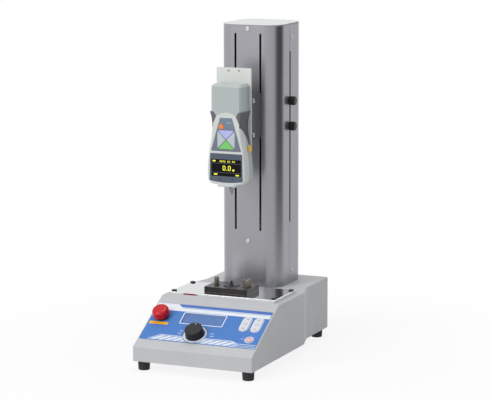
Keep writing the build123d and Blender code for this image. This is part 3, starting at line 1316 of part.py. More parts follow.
def make_drive_motor():
    """Motor hung from a plate with four posts under the lower bearing plate."""
    half = MOTOR_SIDE / 2
    low = MOTOR_PLATE_BOTTOM - MOTOR_LENGTH
    body = block(-half, half, MOTOR_Y - half, MOTOR_Y + half, low, MOTOR_PLATE_BOTTOM)
    body = chamfer(body.edges().filter_by(Axis.Z), MOTOR_CORNER)
    shaft_end = MOTOR_PLATE_BOTTOM - MOTOR_SHAFT_DEPTH - OVERSHOOT
    body -= rod_z(0, MOTOR_Y, shaft_end, MOTOR_PLATE_BOTTOM + OVERSHOOT, MOTOR_SHAFT_RADIUS + RUNNING_FIT)
    plate_top = MOTOR_PLATE_BOTTOM + MOTOR_PLATE_THICKNESS
    reach = half + MOTOR_PLATE_MARGIN
    plate = block(-reach, reach, MOTOR_Y - reach, MOTOR_Y + reach, MOTOR_PLATE_BOTTOM, plate_top)
    plate -= rod_z(0, MOTOR_Y, MOTOR_PLATE_BOTTOM - OVERSHOOT, plate_top + OVERSHOOT, MOTOR_SPIGOT_RADIUS)
    post = reach - MOTOR_POST_RADIUS
    for side in (-1, 1):
        for end in (-1, 1):
            x, y = side * post, MOTOR_Y + end * post
            plate += rod_z(x, y, plate_top, LOWER_PLATE_BOTTOM, MOTOR_POST_RADIUS)
    return group([body, plate])


# Carriage

def make_carriage_block():
    """Block that runs on the guide rods, with a nose between the arms."""
    low, high = CARRIAGE_Z - CARRIAGE_HEIGHT / 2, CARRIAGE_Z + CARRIAGE_HEIGHT / 2
    half = CARRIAGE_WIDTH / 2
    body = block(-half, half, CARRIAGE_FRONT, CARRIAGE_FRONT + CARRIAGE_DEPTH, low, high)
    body = chamfer(body.edges().filter_by(Axis.Z), 3.0)
    nose_half = (ARM_SPACING - ARM_THICKNESS) / 2
    nose = block(-nose_half, nose_half, CARRIAGE_FRONT - NOSE_DEPTH, CARRIAGE_FRONT, low, high)
    body += nose
    for x, y in rod_places():
        body -= rod_z(x, y, low - 1, high + 1, ROD_RADIUS + 1)
        body -= rod_z(x, y, low - 1, low + BUSH_LENGTH, BUSH_RADIUS)
        body -= rod_z(x, y, high - BUSH_LENGTH, high + 1, BUSH_RADIUS)
    body -= rod_z(0, GUIDE_Y, low - 1, high + 1, SCREW_RADIUS + 1)
    body -= rod_z(0, GUIDE_Y, low - 1, low + NUT_LENGTH, NUT_RADIUS)
    for z in arm_screw_heights():
        body -= rod_x(nose_screw_y(), z, -nose_half - OVERSHOOT, nose_half + OVERSHOOT, MEDIUM_HOLE_RADIUS)
    return body


def nose_screw_y():
    """Depth of the screws that hold the arms to the nose."""
    return CARRIAGE_FRONT - NOSE_DEPTH / 2


def arm_screw_heights():
    """Heights of the two rows of screws in each arm."""
    return CARRIAGE_Z - ARM_SCREW_HALF_Z, CARRIAGE_Z + ARM_SCREW_HALF_Z


def make_carriage_bearings():
    """Four guide bushes and the flanged nut of the lead screw."""
    low, high = CARRIAGE_Z - CARRIAGE_HEIGHT / 2, CARRIAGE_Z + CARRIAGE_HEIGHT / 2
    pieces = []
    for x, y in rod_places():
        for z in (low, high - BUSH_LENGTH):
            bush = rod_z(x, y, z, z + BUSH_LENGTH, BUSH_RADIUS)
            pieces.append(bush - rod_z(x, y, z - 1, z + BUSH_LENGTH + 1, ROD_RADIUS + RUNNING_FIT))
    nut = rod_z(0, GUIDE_Y, low - NUT_FLANGE_THICKNESS, low + NUT_LENGTH, NUT_RADIUS)
    nut += rod_z(0, GUIDE_Y, low - NUT_FLANGE_THICKNESS, low, NUT_FLANGE_RADIUS)
    bore_low, bore_high = low - NUT_FLANGE_THICKNESS - OVERSHOOT, low + NUT_LENGTH + OVERSHOOT
    nut -= rod_z(0, GUIDE_Y, bore_low, bore_high, SCREW_RADIUS + RUNNING_FIT)
    pieces.append(nut)
    return group(pieces)


def cross_bar_y():
    """Depth of the bars between the arms."""
    return BRACKET_BACK + CROSS_BAR_SETBACK


def make_carriage_arms():
    """Two folded arms from the nose to the gauge bracket, with two bars between them."""
    inner = (ARM_SPACING - ARM_THICKNESS) / 2
    outer = inner + ARM_THICKNESS
    low, high = CARRIAGE_Z - ARM_HEIGHT / 2, CARRIAGE_Z + ARM_HEIGHT / 2
    arm = block(inner, outer, BRACKET_BACK, CARRIAGE_FRONT, low, high)
    arm += block(outer - ARM_FLANGE, inner, BRACKET_BACK, BRACKET_BACK + ARM_THICKNESS, low, high)
    for z in arm_screw_heights():
        for y in (nose_screw_y(), cross_bar_y()):
            arm -= rod_x(y, z, inner - OVERSHOOT, outer + OVERSHOOT, MEDIUM_HOLE_RADIUS)
    for z in bracket_screw_heights():
        flange_back = BRACKET_BACK + ARM_THICKNESS
        arm -= rod_y(BRACKET_SCREW_X, z, BRACKET_BACK - OVERSHOOT, flange_back + OVERSHOOT, MEDIUM_HOLE_RADIUS)
    bars = []
    for z in arm_screw_heights():
        bar = rod_x(cross_bar_y(), z, -inner, inner, CROSS_BAR_RADIUS)
        bars.append(bar - rod_x(cross_bar_y(), z, -inner - OVERSHOOT, inner + OVERSHOOT, MEDIUM_HOLE_RADIUS))
    return group(mirrored([arm]) + bars)


def bracket_screw_heights():
    """Heights of the countersunk screws that hold the bracket to the arms."""
    return CARRIAGE_Z - BRACKET_SCREW_HALF_Z, CARRIAGE_Z + BRACKET_SCREW_HALF_Z


def gauge_screw_heights():
    """Heights of the screws that hold the gauge to the bracket."""
    return [GAUGE_Z + height for height in GAUGE_SCREW_HEIGHTS]


def make_gauge_bracket():
    """Flat bracket plate behind the gauge, with two spare holes at its top."""
    low = CARRIAGE_Z - BRACKET_BELOW_CENTRE
    half = BRACKET_WIDTH / 2
    plate = block(-half, half, GAUGE_BACK, BRACKET_BACK, low, low + BRACKET_HEIGHT)
    plate = fillet(plate.edges().filter_by(Axis.Y), BRACKET_CORNER)
    for x in (-BRACKET_HOLE_HALF_X, BRACKET_HOLE_HALF_X):
        z = low + BRACKET_HEIGHT - BRACKET_HOLE_DROP
        plate -= rod_y(x, z, GAUGE_BACK - 1, BRACKET_BACK + 1, BRACKET_HOLE_RADIUS)
    for side in (-1, 1):
        for z in bracket_screw_heights():
            radius, height = BRACKET_SCREW_HEAD
            screw = countersunk_screw(
                radius + FRAME_CLEAR, height + FRAME_CLEAR, MEDIUM_HOLE_RADIUS, BRACKET_THICKNESS + OVERSHOOT
            )
            plate -= Pos(side * BRACKET_SCREW_X, GAUGE_BACK, z) * FORWARD * screw
        for z in gauge_screw_heights():
            x = side * GAUGE_SCREW_X
            plate -= rod_y(x, z, GAUGE_BACK - OVERSHOOT, BRACKET_BACK + OVERSHOOT, MEDIUM_HOLE_RADIUS)
    return plate


def make_bracket_screws():
    """Screws of the bracket, the gauge, the cross bars and the nose."""
    inner = (ARM_SPACING - ARM_THICKNESS) / 2
    outer = inner + ARM_THICKNESS
    screws = []
    for side, turn in ((-1, LEFT), (1, RIGHT)):
        for z in bracket_screw_heights():
            length = BRACKET_THICKNESS + ARM_THICKNESS
            screw = countersunk_screw(*BRACKET_SCREW_HEAD, MEDIUM_SCREW_RADIUS, length)
            screws.append(Pos(side * BRACKET_SCREW_X, GAUGE_BACK, z) * FORWARD * screw)
        for z in gauge_screw_heights():
            screw = cap_screw(*GAUGE_SCREW_HEAD, MEDIUM_SCREW_RADIUS, BRACKET_THICKNESS + GAUGE_WALL)
            screws.append(Pos(side * GAUGE_SCREW_X, BRACKET_BACK, z) * BACKWARD * screw)
        for z in arm_screw_heights():
            for y in (nose_screw_y(), cross_bar_y()):
                screw = cap_screw(*ARM_SCREW_HEAD, MEDIUM_SCREW_RADIUS, ARM_THICKNESS + SCREW_BITE)
                screws.append(Pos(side * outer, y, z) * turn * screw)
    return group(screws)


# Limit clamps

def make_limit_rail():
    """Flat rail between the bearing plates that the limit clamps slide along."""
    half = LIMIT_RAIL_WIDTH / 2
    return block(
        RAIL_OUTER_X - LIMIT_RAIL_THICKNESS, RAIL_OUTER_X, SLOT_SIDE_Y - half, SLOT_SIDE_Y + half,
        LOWER_PLATE_TOP, UPPER_PLATE_BOTTOM,
    )


def make_limit_clamp(height):
    """Clamp nut behind the column's side slot."""
    z = DECK_Z + height
    half_y, half_z = LIMIT_CLAMP_WIDTH / 2, LIMIT_CLAMP_HEIGHT / 2
    front, back = SLOT_SIDE_Y - half_y, SLOT_SIDE_Y + half_y
    nut = block(CLAMP_INNER_X, CLAMP_OUTER_X, front, back, z - half_z, z + half_z)
    bore = LIMIT_STEM_RADIUS + RUNNING_FIT
    return nut - rod_x(SLOT_SIDE_Y, z, CLAMP_INNER_X - OVERSHOOT, CLAMP_OUTER_X + OVERSHOOT, bore)


def make_limit_knob(height):
    """Fluted knob outside the column, with its stem through the slot."""
    z = DECK_Z + height
    start = COLUMN_WIDTH / 2 + LIMIT_KNOB_GAP
    knob = Pos(0, 0, LIMIT_KNOB_LENGTH / 2) * Cylinder(LIMIT_KNOB_RADIUS, LIMIT_KNOB_LENGTH)
    knob = fillet(knob.edges(), LIMIT_KNOB_ROUNDING)
    for index in range(LIMIT_KNOB_FLUTES):
        turn = Rot(0, 0, index * 360 / LIMIT_KNOB_FLUTES)
        place = Pos(LIMIT_KNOB_RADIUS + 0.3, 0, LIMIT_KNOB_LENGTH / 2 + 2)
        knob -= turn * place * Cylinder(LIMIT_FLUTE_RADIUS, LIMIT_KNOB_LENGTH)
    stem = rod_x(SLOT_SIDE_Y, z, CLAMP_INNER_X + LIMIT_GAP, start + 1, LIMIT_STEM_RADIUS)
    return Pos(start, SLOT_SIDE_Y, z) * RIGHT * knob + stem


# Force gauge

def gauge_lower_outline(inset):
    """Front view of the gauge's lower body: shoulders, waist, hips and stepped chin."""
    side = [
        (SHOULDER_HALF_WIDTH - inset, HOOD_BOTTOM),
        (WAIST_HALF_WIDTH - inset, WAIST_HEIGHT),
        (HIP_HALF_WIDTH - inset, HIP_HEIGHT),
        (WIDE_HALF_WIDTH - inset, WIDE_HEIGHT),
        (CHIN_HALF_WIDTH - inset, CHIN_HEIGHT),
    ]
    right = Spline(*side)
    left = Spline(*[(-x, z) for x, z in side])
    chin = [
        (CHIN_HALF_WIDTH - inset, CHIN_HEIGHT),
        (CHIN_CORNER_HALF_WIDTH - inset, CHIN_CORNER_HEIGHT + inset),
        (STEP_HALF_WIDTH - inset, STEP_HEIGHT + inset),
        (NECK_HALF_WIDTH - inset, inset),
    ]
    under = Polyline(*(chin + [(-x, z) for x, z in reversed(chin)]))
    top = Line(left @ 0, right @ 0)
    face = make_face(right + left + under + top)
    corners = face.vertices().filter_by(lambda v: abs(v.Y - CHIN_HEIGHT) < 0.01)
    return fillet(corners, CHIN_CORNER_RADIUS)


def hood_block(inset):
    """Upper block of the gauge with bevelled front corners and top."""
    half = HOOD_HALF_WIDTH - inset
    front, back = GAUGE_FRONT + inset, GAUGE_BACK - inset
    low, high = GAUGE_Z + HOOD_BOTTOM - 2 * inset, GAUGE_Z + HOOD_TOP - inset
    body = block(-half, half, front, back, low, high)
    uprights = body.edges().filter_by(Axis.Z).group_by(Axis.Y)[0]
    body = chamfer(uprights, HOOD_SIDE_CHAMFER)
    top_edges = body.faces().sort_by(Axis.Z)[-1].edges().sort_by(Axis.Y)[:-1]
    return chamfer(top_edges, HOOD_TOP_CHAMFER)


def gauge_solid():
    """Outer form of the whole gauge, as if it were one solid."""
    lower = prism_y(Pos(0, GAUGE_Z) * gauge_lower_outline(0), GAUGE_FRONT, GAUGE_BACK)
    front_edges = lower.faces().sort_by(Axis.Y)[0].edges()
    below_hood = front_edges.filter_by(lambda edge: edge.center().Z < GAUGE_Z + HOOD_BOTTOM - 1)
    return chamfer(below_hood, GAUGE_EDGE_RADIUS) + hood_block(0)


def gauge_cavity():
    """Room inside the gauge's walls."""
    front, back = GAUGE_FRONT + GAUGE_WALL, GAUGE_BACK - GAUGE_WALL
    lower = prism_y(Pos(0, GAUGE_Z) * gauge_lower_outline(GAUGE_WALL), front, back)
    return lower + hood_block(GAUGE_WALL)


def grip_region():
    """Space that the rubber grips fill: beside the bezel in front view, behind it in side view."""
    beyond = 20.0
    front_view = outline([
        (HOOD_LIP_HALF_WIDTH, HOOD_BOTTOM), (ARCH_HALF_WIDTH, ARCH_FOOT),
        (WAIST_HALF_WIDTH - 2, WAIST_HEIGHT + 9), (WAIST_HALF_WIDTH - 4, WAIST_HEIGHT - 3),
        (WAIST_HALF_WIDTH - 4, GRIP_TIP_HEIGHT - 4), (SHOULDER_HALF_WIDTH + beyond, GRIP_TIP_HEIGHT - 4),
        (SHOULDER_HALF_WIDTH + beyond, HOOD_BOTTOM),
    ])
    depth = GAUGE_DEPTH
    side_view = outline([
        (-1, HOOD_BOTTOM), (-1, WAIST_HEIGHT + 5), (depth * 0.3, WAIST_HEIGHT - 2),
        (depth * 0.67, GRIP_TIP_HEIGHT + 13), (depth * 0.8, GRIP_TIP_HEIGHT),
        (depth * 0.9, GRIP_TIP_HEIGHT - 2), (depth + 1, GRIP_TIP_HEIGHT + 2), (depth + 1, HOOD_BOTTOM),
    ])
    right = prism_y(Pos(0, GAUGE_Z) * front_view, GAUGE_FRONT - 1, GAUGE_BACK + 1)
    both = right + mirror(right, about=Plane.YZ)
    reach = SHOULDER_HALF_WIDTH + beyond
    return both & prism_x(Pos(GAUGE_FRONT, GAUGE_Z) * side_view, -reach, reach)


def hood_region():
    """Space of the hood in front view, down to the bezel's arch."""
    wide = HOOD_HALF_WIDTH + 20
    rim = Polyline(
        (ARCH_HALF_WIDTH, ARCH_FOOT), (HOOD_LIP_HALF_WIDTH, HOOD_BOTTOM), (wide, HOOD_BOTTOM),
        (wide, HOOD_TOP + 5), (-wide, HOOD_TOP + 5), (-wide, HOOD_BOTTOM),
        (-HOOD_LIP_HALF_WIDTH, HOOD_BOTTOM), (-ARCH_HALF_WIDTH, ARCH_FOOT),
    )
    arch = ThreePointArc((-ARCH_HALF_WIDTH, ARCH_FOOT), (0, ARCH_TOP), (ARCH_HALF_WIDTH, ARCH_FOOT))
    return prism_y(Pos(0, GAUGE_Z) * make_face(rim + arch), GAUGE_FRONT - 1, GAUGE_BACK + 1)


def front_half():
    """Space in front of the split between the gauge's shells."""
    wide = WIDE_HALF_WIDTH + 20
    return block(-wide, wide, GAUGE_FRONT - 5, GAUGE_SPLIT_Y, GAUGE_Z - 5, GAUGE_Z + HOOD_TOP + 5)


def keypad_outline(inset):
    """Front view of the keypad's trapezium."""
    face = outline([
        (-KEYPAD_TOP_HALF_WIDTH, KEYPAD_TOP), (KEYPAD_TOP_HALF_WIDTH, KEYPAD_TOP),
        (KEYPAD_BOTTOM_HALF_WIDTH, KEYPAD_BOTTOM), (-KEYPAD_BOTTOM_HALF_WIDTH, KEYPAD_BOTTOM),
    ])
    return offset(fillet(face.vertices(), PANEL_CORNER), -inset)


def display_outline(inset):
    """Front view of the display panel, its lower edge bowed down."""
    top, low, half = DISPLAY_TOP, DISPLAY_BOTTOM, DISPLAY_BOTTOM_HALF_WIDTH
    sides = Polyline(
        (-half, low), (-DISPLAY_TOP_HALF_WIDTH, top), (DISPLAY_TOP_HALF_WIDTH, top), (half, low)
    )
    bow = ThreePointArc((half, low), (0, low - DISPLAY_DIP), (-half, low))
    face = make_face(sides + bow)
    return offset(fillet(face.vertices(), PANEL_CORNER), -inset)


def sector_outline(turn, grow):
    """One of the four arrow keys: a quarter of a rounded square, cut along its diagonals."""
    side = 2 * (SECTOR_HALF_SIZE + grow)
    square = RectangleRounded(side, side, SECTOR_CORNER)
    apex = SECTOR_GAP * math.sqrt(0.5) - grow * math.sqrt(2)
    reach = SECTOR_HALF_SIZE + 5
    wedge = outline([(0, apex), (reach, reach + apex), (-reach, reach + apex)])
    quarter = square & wedge
    return Pos(0, SECTOR_CENTRE) * Rot(0, 0, turn) * quarter


def zero_key_outline(grow):
    """Round key at the keypad's top left."""
    return Pos(ZERO_KEY_X, ZERO_KEY_HEIGHT) * Circle(ZERO_KEY_RADIUS + grow)


def gauge_prism(face, front, back):
    """Face drawn in front view from the gauge's underside, carried between two depths."""
    return prism_y(Pos(0, GAUGE_Z) * face, front, back)


def key_openings(front, back):
    """Cutter for the keys of the keypad."""
    cutter = gauge_prism(zero_key_outline(GAUGE_KEY_FIT), front, back)
    side = 2 * (SECTOR_HALF_SIZE + GAUGE_KEY_FIT)
    square = Pos(0, SECTOR_CENTRE) * RectangleRounded(side, side, SECTOR_CORNER)
    return cutter + gauge_prism(square, front, back)


def boss_rods(front, back, radius):
    """Four rods along the axes of the gauge's board bosses."""
    return [
        rod_y(side * GAUGE_BOSS_X, GAUGE_Z + height, front, back, radius)
        for side in (-1, 1)
        for height in GAUGE_BOSS_HEIGHTS
    ]


def make_gauge_front_shell():
    """Front shell: bezel round the keypad and display, stepped chin and board bosses."""
    shell = (gauge_solid() & front_half()) - gauge_cavity() - hood_region() - grip_region()
    pocket_back = GAUGE_FRONT + PANEL_RECESS
    shell -= gauge_prism(keypad_outline(0), GAUGE_FRONT - 1, pocket_back)
    shell -= gauge_prism(display_outline(0), GAUGE_FRONT - 1, pocket_back)
    shell -= key_openings(GAUGE_FRONT - 1, GAUGE_FRONT + GAUGE_WALL + 1)
    shell -= rod_z(0, AXIS_Y, GAUGE_Z - 1, GAUGE_Z + GAUGE_WALL + 4, SHAFT_HOLE_RADIUS)
    for boss in boss_rods(GAUGE_FRONT + GAUGE_WALL, GAUGE_FRONT + GAUGE_BOARD_DEPTH, GAUGE_BOSS_RADIUS):
        shell += boss
    return shell


def make_gauge_hood():
    """Upper front cover of the gauge, down to the bezel's arch."""
    return (gauge_solid() & front_half() & hood_region()) - gauge_cavity()


def make_gauge_rear_shell():
    """Rear shell, with a pad for the load cell and holes for its screws and the side key."""
    shell = gauge_solid() - front_half() - gauge_cavity() - grip_region()
    inner = GAUGE_BACK - GAUGE_WALL
    pad_top = GAUGE_Z + CELL_BOTTOM + CELL_LENGTH
    shell += block(-CELL_WIDTH / 2, CELL_WIDTH / 2, cell_back(), inner, pad_top - 12, pad_top)
    shell -= rod_z(0, AXIS_Y, GAUGE_Z - 1, GAUGE_Z + GAUGE_WALL + 4, SHAFT_HOLE_RADIUS)
    shell -= prism_x(side_key_outline(GAUGE_KEY_FIT), 0, WIDE_HALF_WIDTH + 5)
    for from_back in HOOD_GROOVES_FROM_BACK:
        groove = block(
            HOOD_HALF_WIDTH - HOOD_GROOVE_DEPTH, HOOD_HALF_WIDTH + 1,
            GAUGE_BACK - from_back, GAUGE_BACK - from_back + HOOD_GROOVE_WIDTH,
            GAUGE_Z + HOOD_BOTTOM + HOOD_GROOVE_MARGIN, GAUGE_Z + HOOD_TOP - HOOD_GROOVE_MARGIN,
        )
        shell -= groove
        shell -= mirror(groove, about=Plane.YZ)
    for side in (-1, 1):
        for z in gauge_screw_heights():
            x = side * GAUGE_SCREW_X
            shell -= rod_y(x, z, inner - OVERSHOOT, GAUGE_BACK + OVERSHOOT, MEDIUM_HOLE_RADIUS)
    return shell


def make_gauge_grips():
    """Rubber grips moulded over both sides of the waist."""
    return (gauge_solid() & grip_region()) - gauge_cavity()


def make_gauge_keypad():
    """Thin keypad plate, open where the keys pass through."""
    front = GAUGE_FRONT + PANEL_SINK
    back = GAUGE_FRONT + PANEL_RECESS
    plate = gauge_prism(keypad_outline(GAUGE_PANEL_FIT), front, back)
    plate -= gauge_prism(zero_key_outline(GAUGE_KEY_FIT), front - 1, back + 1)
    for turn in (0, 90, 180, 270):
        plate -= gauge_prism(sector_outline(turn, GAUGE_KEY_FIT), front - 1, back + 1)
    return plate


def make_gauge_display():
    """Display panel in the lower half of the bezel."""
    front = GAUGE_FRONT + PANEL_SINK
    return gauge_prism(display_outline(GAUGE_PANEL_FIT), front, GAUGE_FRONT + PANEL_RECESS)


def make_gauge_key(face):
    """Key that stands a little proud of the keypad."""
    front = GAUGE_FRONT - GAUGE_KEY_PROUD
    key = gauge_prism(face, front, front + GAUGE_KEY_LENGTH)
    return chamfer(key.faces().sort_by(Axis.Y)[0].edges(), 0.2)


def side_key_y():
    """Depth of the key on the gauge's right side."""
    return GAUGE_BACK - SIDE_KEY_FROM_BACK


def side_key_outline(grow):
    """Side view of the gauge's side key: an oblong with round corners."""
    depth, tall = SIDE_KEY_DEPTH + 2 * grow, SIDE_KEY_TALL + 2 * grow
    return Pos(side_key_y(), GAUGE_Z + SIDE_KEY_HEIGHT) * RectangleRounded(depth, tall, SIDE_KEY_CORNER + grow)


def make_side_key():
    """Oblong key on the gauge's right side."""
    face = HIP_HALF_WIDTH + SIDE_KEY_PROUD
    key = prism_x(side_key_outline(0), HIP_HALF_WIDTH - 4, face)
    return fillet(key.edges().group_by(Axis.X)[-1], 0.6)


def cell_back():
    """Depth of the load cell's rear face."""
    return AXIS_Y + CELL_DEPTH / 2


def make_load_cell():
    """Bending-beam load cell with its two joined holes."""
    low = GAUGE_Z + CELL_BOTTOM
    middle = low + CELL_LENGTH / 2
    half = CELL_WIDTH / 2
    body = block(-half, half, AXIS_Y - CELL_DEPTH / 2, cell_back(), low, low + CELL_LENGTH)
    for side in (-1, 1):
        z = middle + side * CELL_HOLE_HALF_SPACING
        body -= rod_y(0, z, AXIS_Y - CELL_DEPTH, AXIS_Y + CELL_DEPTH, CELL_HOLE_RADIUS)
    body -= block(
        -CELL_SLOT / 2, CELL_SLOT / 2, AXIS_Y - CELL_DEPTH, AXIS_Y + CELL_DEPTH,
        middle - CELL_HOLE_HALF_SPACING, middle + CELL_HOLE_HALF_SPACING,
    )
    return body


def make_gauge_shaft():
    """Measuring shaft with a threaded stud and its lock nut, as one piece."""
    collar_low = GAUGE_Z - NUT_TOP_DROP
    shaft = rod_z(0, AXIS_Y, GAUGE_Z - SHAFT_TIP_DROP, collar_low, SHAFT_RADIUS)
    shaft = chamfer(shaft.edges().group_by(Axis.Z)[0], 0.6)
    shaft += rod_z(0, AXIS_Y, collar_low, GAUGE_Z + CELL_BOTTOM, SHAFT_COLLAR_RADIUS)
    nut_low = collar_low - LOCK_NUT_HEIGHT
    hexagon = RegularPolygon(LOCK_NUT_FLATS / 2, 6, major_radius=False)
    nut = prism_z(Pos(0, AXIS_Y) * hexagon, nut_low, collar_low)
    return shaft + nut


def make_gauge_electronics():
    """Gauge circuit board on its bosses, and the battery pack in the hood."""
    front = GAUGE_FRONT + GAUGE_BOARD_DEPTH
    half = GAUGE_BOARD_HALF_WIDTH
    board_low, board_high = GAUGE_Z + GAUGE_BOARD_BOTTOM, GAUGE_Z + GAUGE_BOARD_TOP
    board = block(-half, half, front, front + BOARD_THICKNESS, board_low, board_high)
    back = GAUGE_BACK - GAUGE_WALL
    low = GAUGE_Z + HOOD_BOTTOM - 2
    pack = block(-BATTERY_WIDTH / 2, BATTERY_WIDTH / 2, back - BATTERY_DEPTH, back, low, low + BATTERY_LENGTH)
    pack = fillet(pack.edges().filter_by(Axis.Z), 4.0)
    return group([board, pack])


PARTS = {
    "base_cover": make_base_cover(),
    "rear_panel": make_rear_panel(),
    "bottom_plate": make_bottom_plate(),
    "rubber_feet": make_rubber_feet(),
    "base_screws": make_base_screws(),
    "power_inlet": make_power_inlet(),
    "power_rocker": make_power_rocker(),
    "power_supply": make_power_supply(),
    "control_overlay": make_control_overlay(),
    "lcd_window": make_lcd_window(),
    "control_board": make_control_board(),
    "up_key": make_arrow_key(UP_KEY_X),
    "down_key": make_arrow_key(DOWN_KEY_X),
    "power_key": make_power_key(),
    "speed_encoder": make_speed_encoder(),
    "speed_dial": make_speed_dial(),
    "estop_body": make_estop_body(),
    "estop_plunger": make_estop_plunger(),
    "estop_head": make_estop_head(),
    "table_plate": make_table_plate(),
    "table_screws": make_table_screws(),
    "fixture_block": make_fixture_block(),
    "left_thumbscrew": make_thumbscrew(-1, LEFT_THUMBSCREW_RADIUS, LEFT_THUMBSCREW_HEIGHT),
    "right_thumbscrew": make_thumbscrew(1, RIGHT_THUMBSCREW_RADIUS, RIGHT_THUMBSCREW_HEIGHT),
    "column_shell": make_column_shell(),
    "column_rear_cover": make_column_rear_cover(),
    "column_cap": make_column_cap(),
    "column_screws": make_column_screws(),
    "column_foot": make_column_foot(),
    "bearing_plates": make_bearing_plates(),
    "guide_rods": make_guide_rods(),
    "lead_screw": make_lead_screw(),
    "motor_pulley": make_motor_pulley(),
    "timing_belt": make_timing_belt(),
    "drive_motor": make_drive_motor(),
    "limit_rail": make_limit_rail(),
    "upper_limit_clamp": make_limit_clamp(UPPER_LIMIT_HEIGHT),
    "upper_limit_knob": make_limit_knob(UPPER_LIMIT_HEIGHT),
    "lower_limit_clamp": make_limit_clamp(LOWER_LIMIT_HEIGHT),
    "lower_limit_knob": make_limit_knob(LOWER_LIMIT_HEIGHT),
    "carriage_block": make_carriage_block(),
    "carriage_bearings": make_carriage_bearings(),
    "carriage_arms": make_carriage_arms(),
    "gauge_bracket": make_gauge_bracket(),
    "bracket_screws": make_bracket_screws(),
    "gauge_front_shell": make_gauge_front_shell(),
    "gauge_hood": make_gauge_hood(),
    "gauge_rear_shell": make_gauge_rear_shell(),
    "gauge_grips": make_gauge_grips(),
    "gauge_keypad": make_gauge_keypad(),
    "gauge_display": make_gauge_display(),
    "gauge_up_key": make_gauge_key(sector_outline(0, 0)),
    "gauge_left_key": make_gauge_key(sector_outline(90, 0)),
    "gauge_down_key": make_gauge_key(sector_outline(180, 0)),
    "gauge_right_key": make_gauge_key(sector_outline(270, 0)),
    "gauge_zero_key": make_gauge_key(zero_key_outline(0)),
    "gauge_side_key": make_side_key(),
    "load_cell": make_load_cell(),
    "gauge_shaft": make_gauge_shaft(),
    "gauge_electronics": make_gauge_electronics(),
}

os.makedirs("parts", exist_ok=True)
for name, part in PARTS.items():
    export_step(part, f"parts/{name}.step")
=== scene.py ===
"""Looks of the motorised force test stand: materials, artwork, display content, light and camera."""

import math

import bmesh
import bpy
from mathutils import Matrix, Vector


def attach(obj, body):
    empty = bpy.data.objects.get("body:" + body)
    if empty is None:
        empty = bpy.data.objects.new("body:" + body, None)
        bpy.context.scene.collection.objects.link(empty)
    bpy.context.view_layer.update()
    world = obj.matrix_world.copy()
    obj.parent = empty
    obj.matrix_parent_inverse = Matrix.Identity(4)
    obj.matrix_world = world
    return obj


MM = 0.001
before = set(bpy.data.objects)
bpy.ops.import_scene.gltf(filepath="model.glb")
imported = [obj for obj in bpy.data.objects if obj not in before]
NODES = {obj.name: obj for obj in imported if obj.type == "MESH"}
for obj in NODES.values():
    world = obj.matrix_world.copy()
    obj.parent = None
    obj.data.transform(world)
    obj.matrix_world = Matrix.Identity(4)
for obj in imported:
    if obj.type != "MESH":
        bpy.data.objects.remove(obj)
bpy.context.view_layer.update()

# Planes that the artwork lies on, in millimetres, as the solids have them
FRONT_Y = -200.0
LIP_Z = 44.7
SLOPE_SIN = 0.49863
SLOPE_COS = 0.86682
OVERLAY_TOP = 0.5
AXIS_Y = -23.0
TABLE_Z = 121.8
GAUGE_Z = 319.4
GAUGE_PANEL_Y = -46.4
INK = 0.04

# Places and levels on the sloped control panel: across it, up its slope, and out of it
PANEL_LEFT = -113.5
PANEL_RIGHT = 113.5
HEADER_LOW = 102.5
HEADER_TOP = 120.5
DIAL_X, DIAL_S = -11.0, 45.0
POWER_X, POWER_S = 95.0, 44.5
KEY_S = 84.0
KEY_X = {"up_key": 73.5, "down_key": 96.0}
KEY_FACE = 1.6
DIAL_TOP = 15.0
DISPLAY_X, DISPLAY_S = -10.8, 85.8
FOOTER_LOW = 23.0

# Gauge: levels above the underside of its housing, and its large figures
KEYPAD_LOW, KEYPAD_TOP = 67.0, 127.0
READING_Z = 35.0
READING_WIDTH, READING_HEIGHT, READING_WEIGHT = 5.6, 9.4, 1.35
TOP_LINE_Z = 47.2
DIGIT_PITCH = 3.1
SCREEN_LINES = (43.4, 26.4)

# Tapped holes of the table plate
HOLE_X, HOLE_Y = 36.0, 37.0
SIDE_HOLE_X = 53.0
HOLE_RADIUS = 2.5
HOLE_RIM = 0.8


def srgb(red, green, blue):
    """Linear colour of an 8-bit screen colour."""
    linear = []
    for value in (red, green, blue):
        share = value / 255
        linear.append(share / 12.92 if share <= 0.04045 else ((share + 0.055) / 1.055) ** 2.4)
    return (*linear, 1.0)


def shade(colour, factor):
    """A lighter or darker copy of a linear colour."""
    return tuple(min(1.0, channel * factor) for channel in colour[:3]) + (1.0,)


# Materials


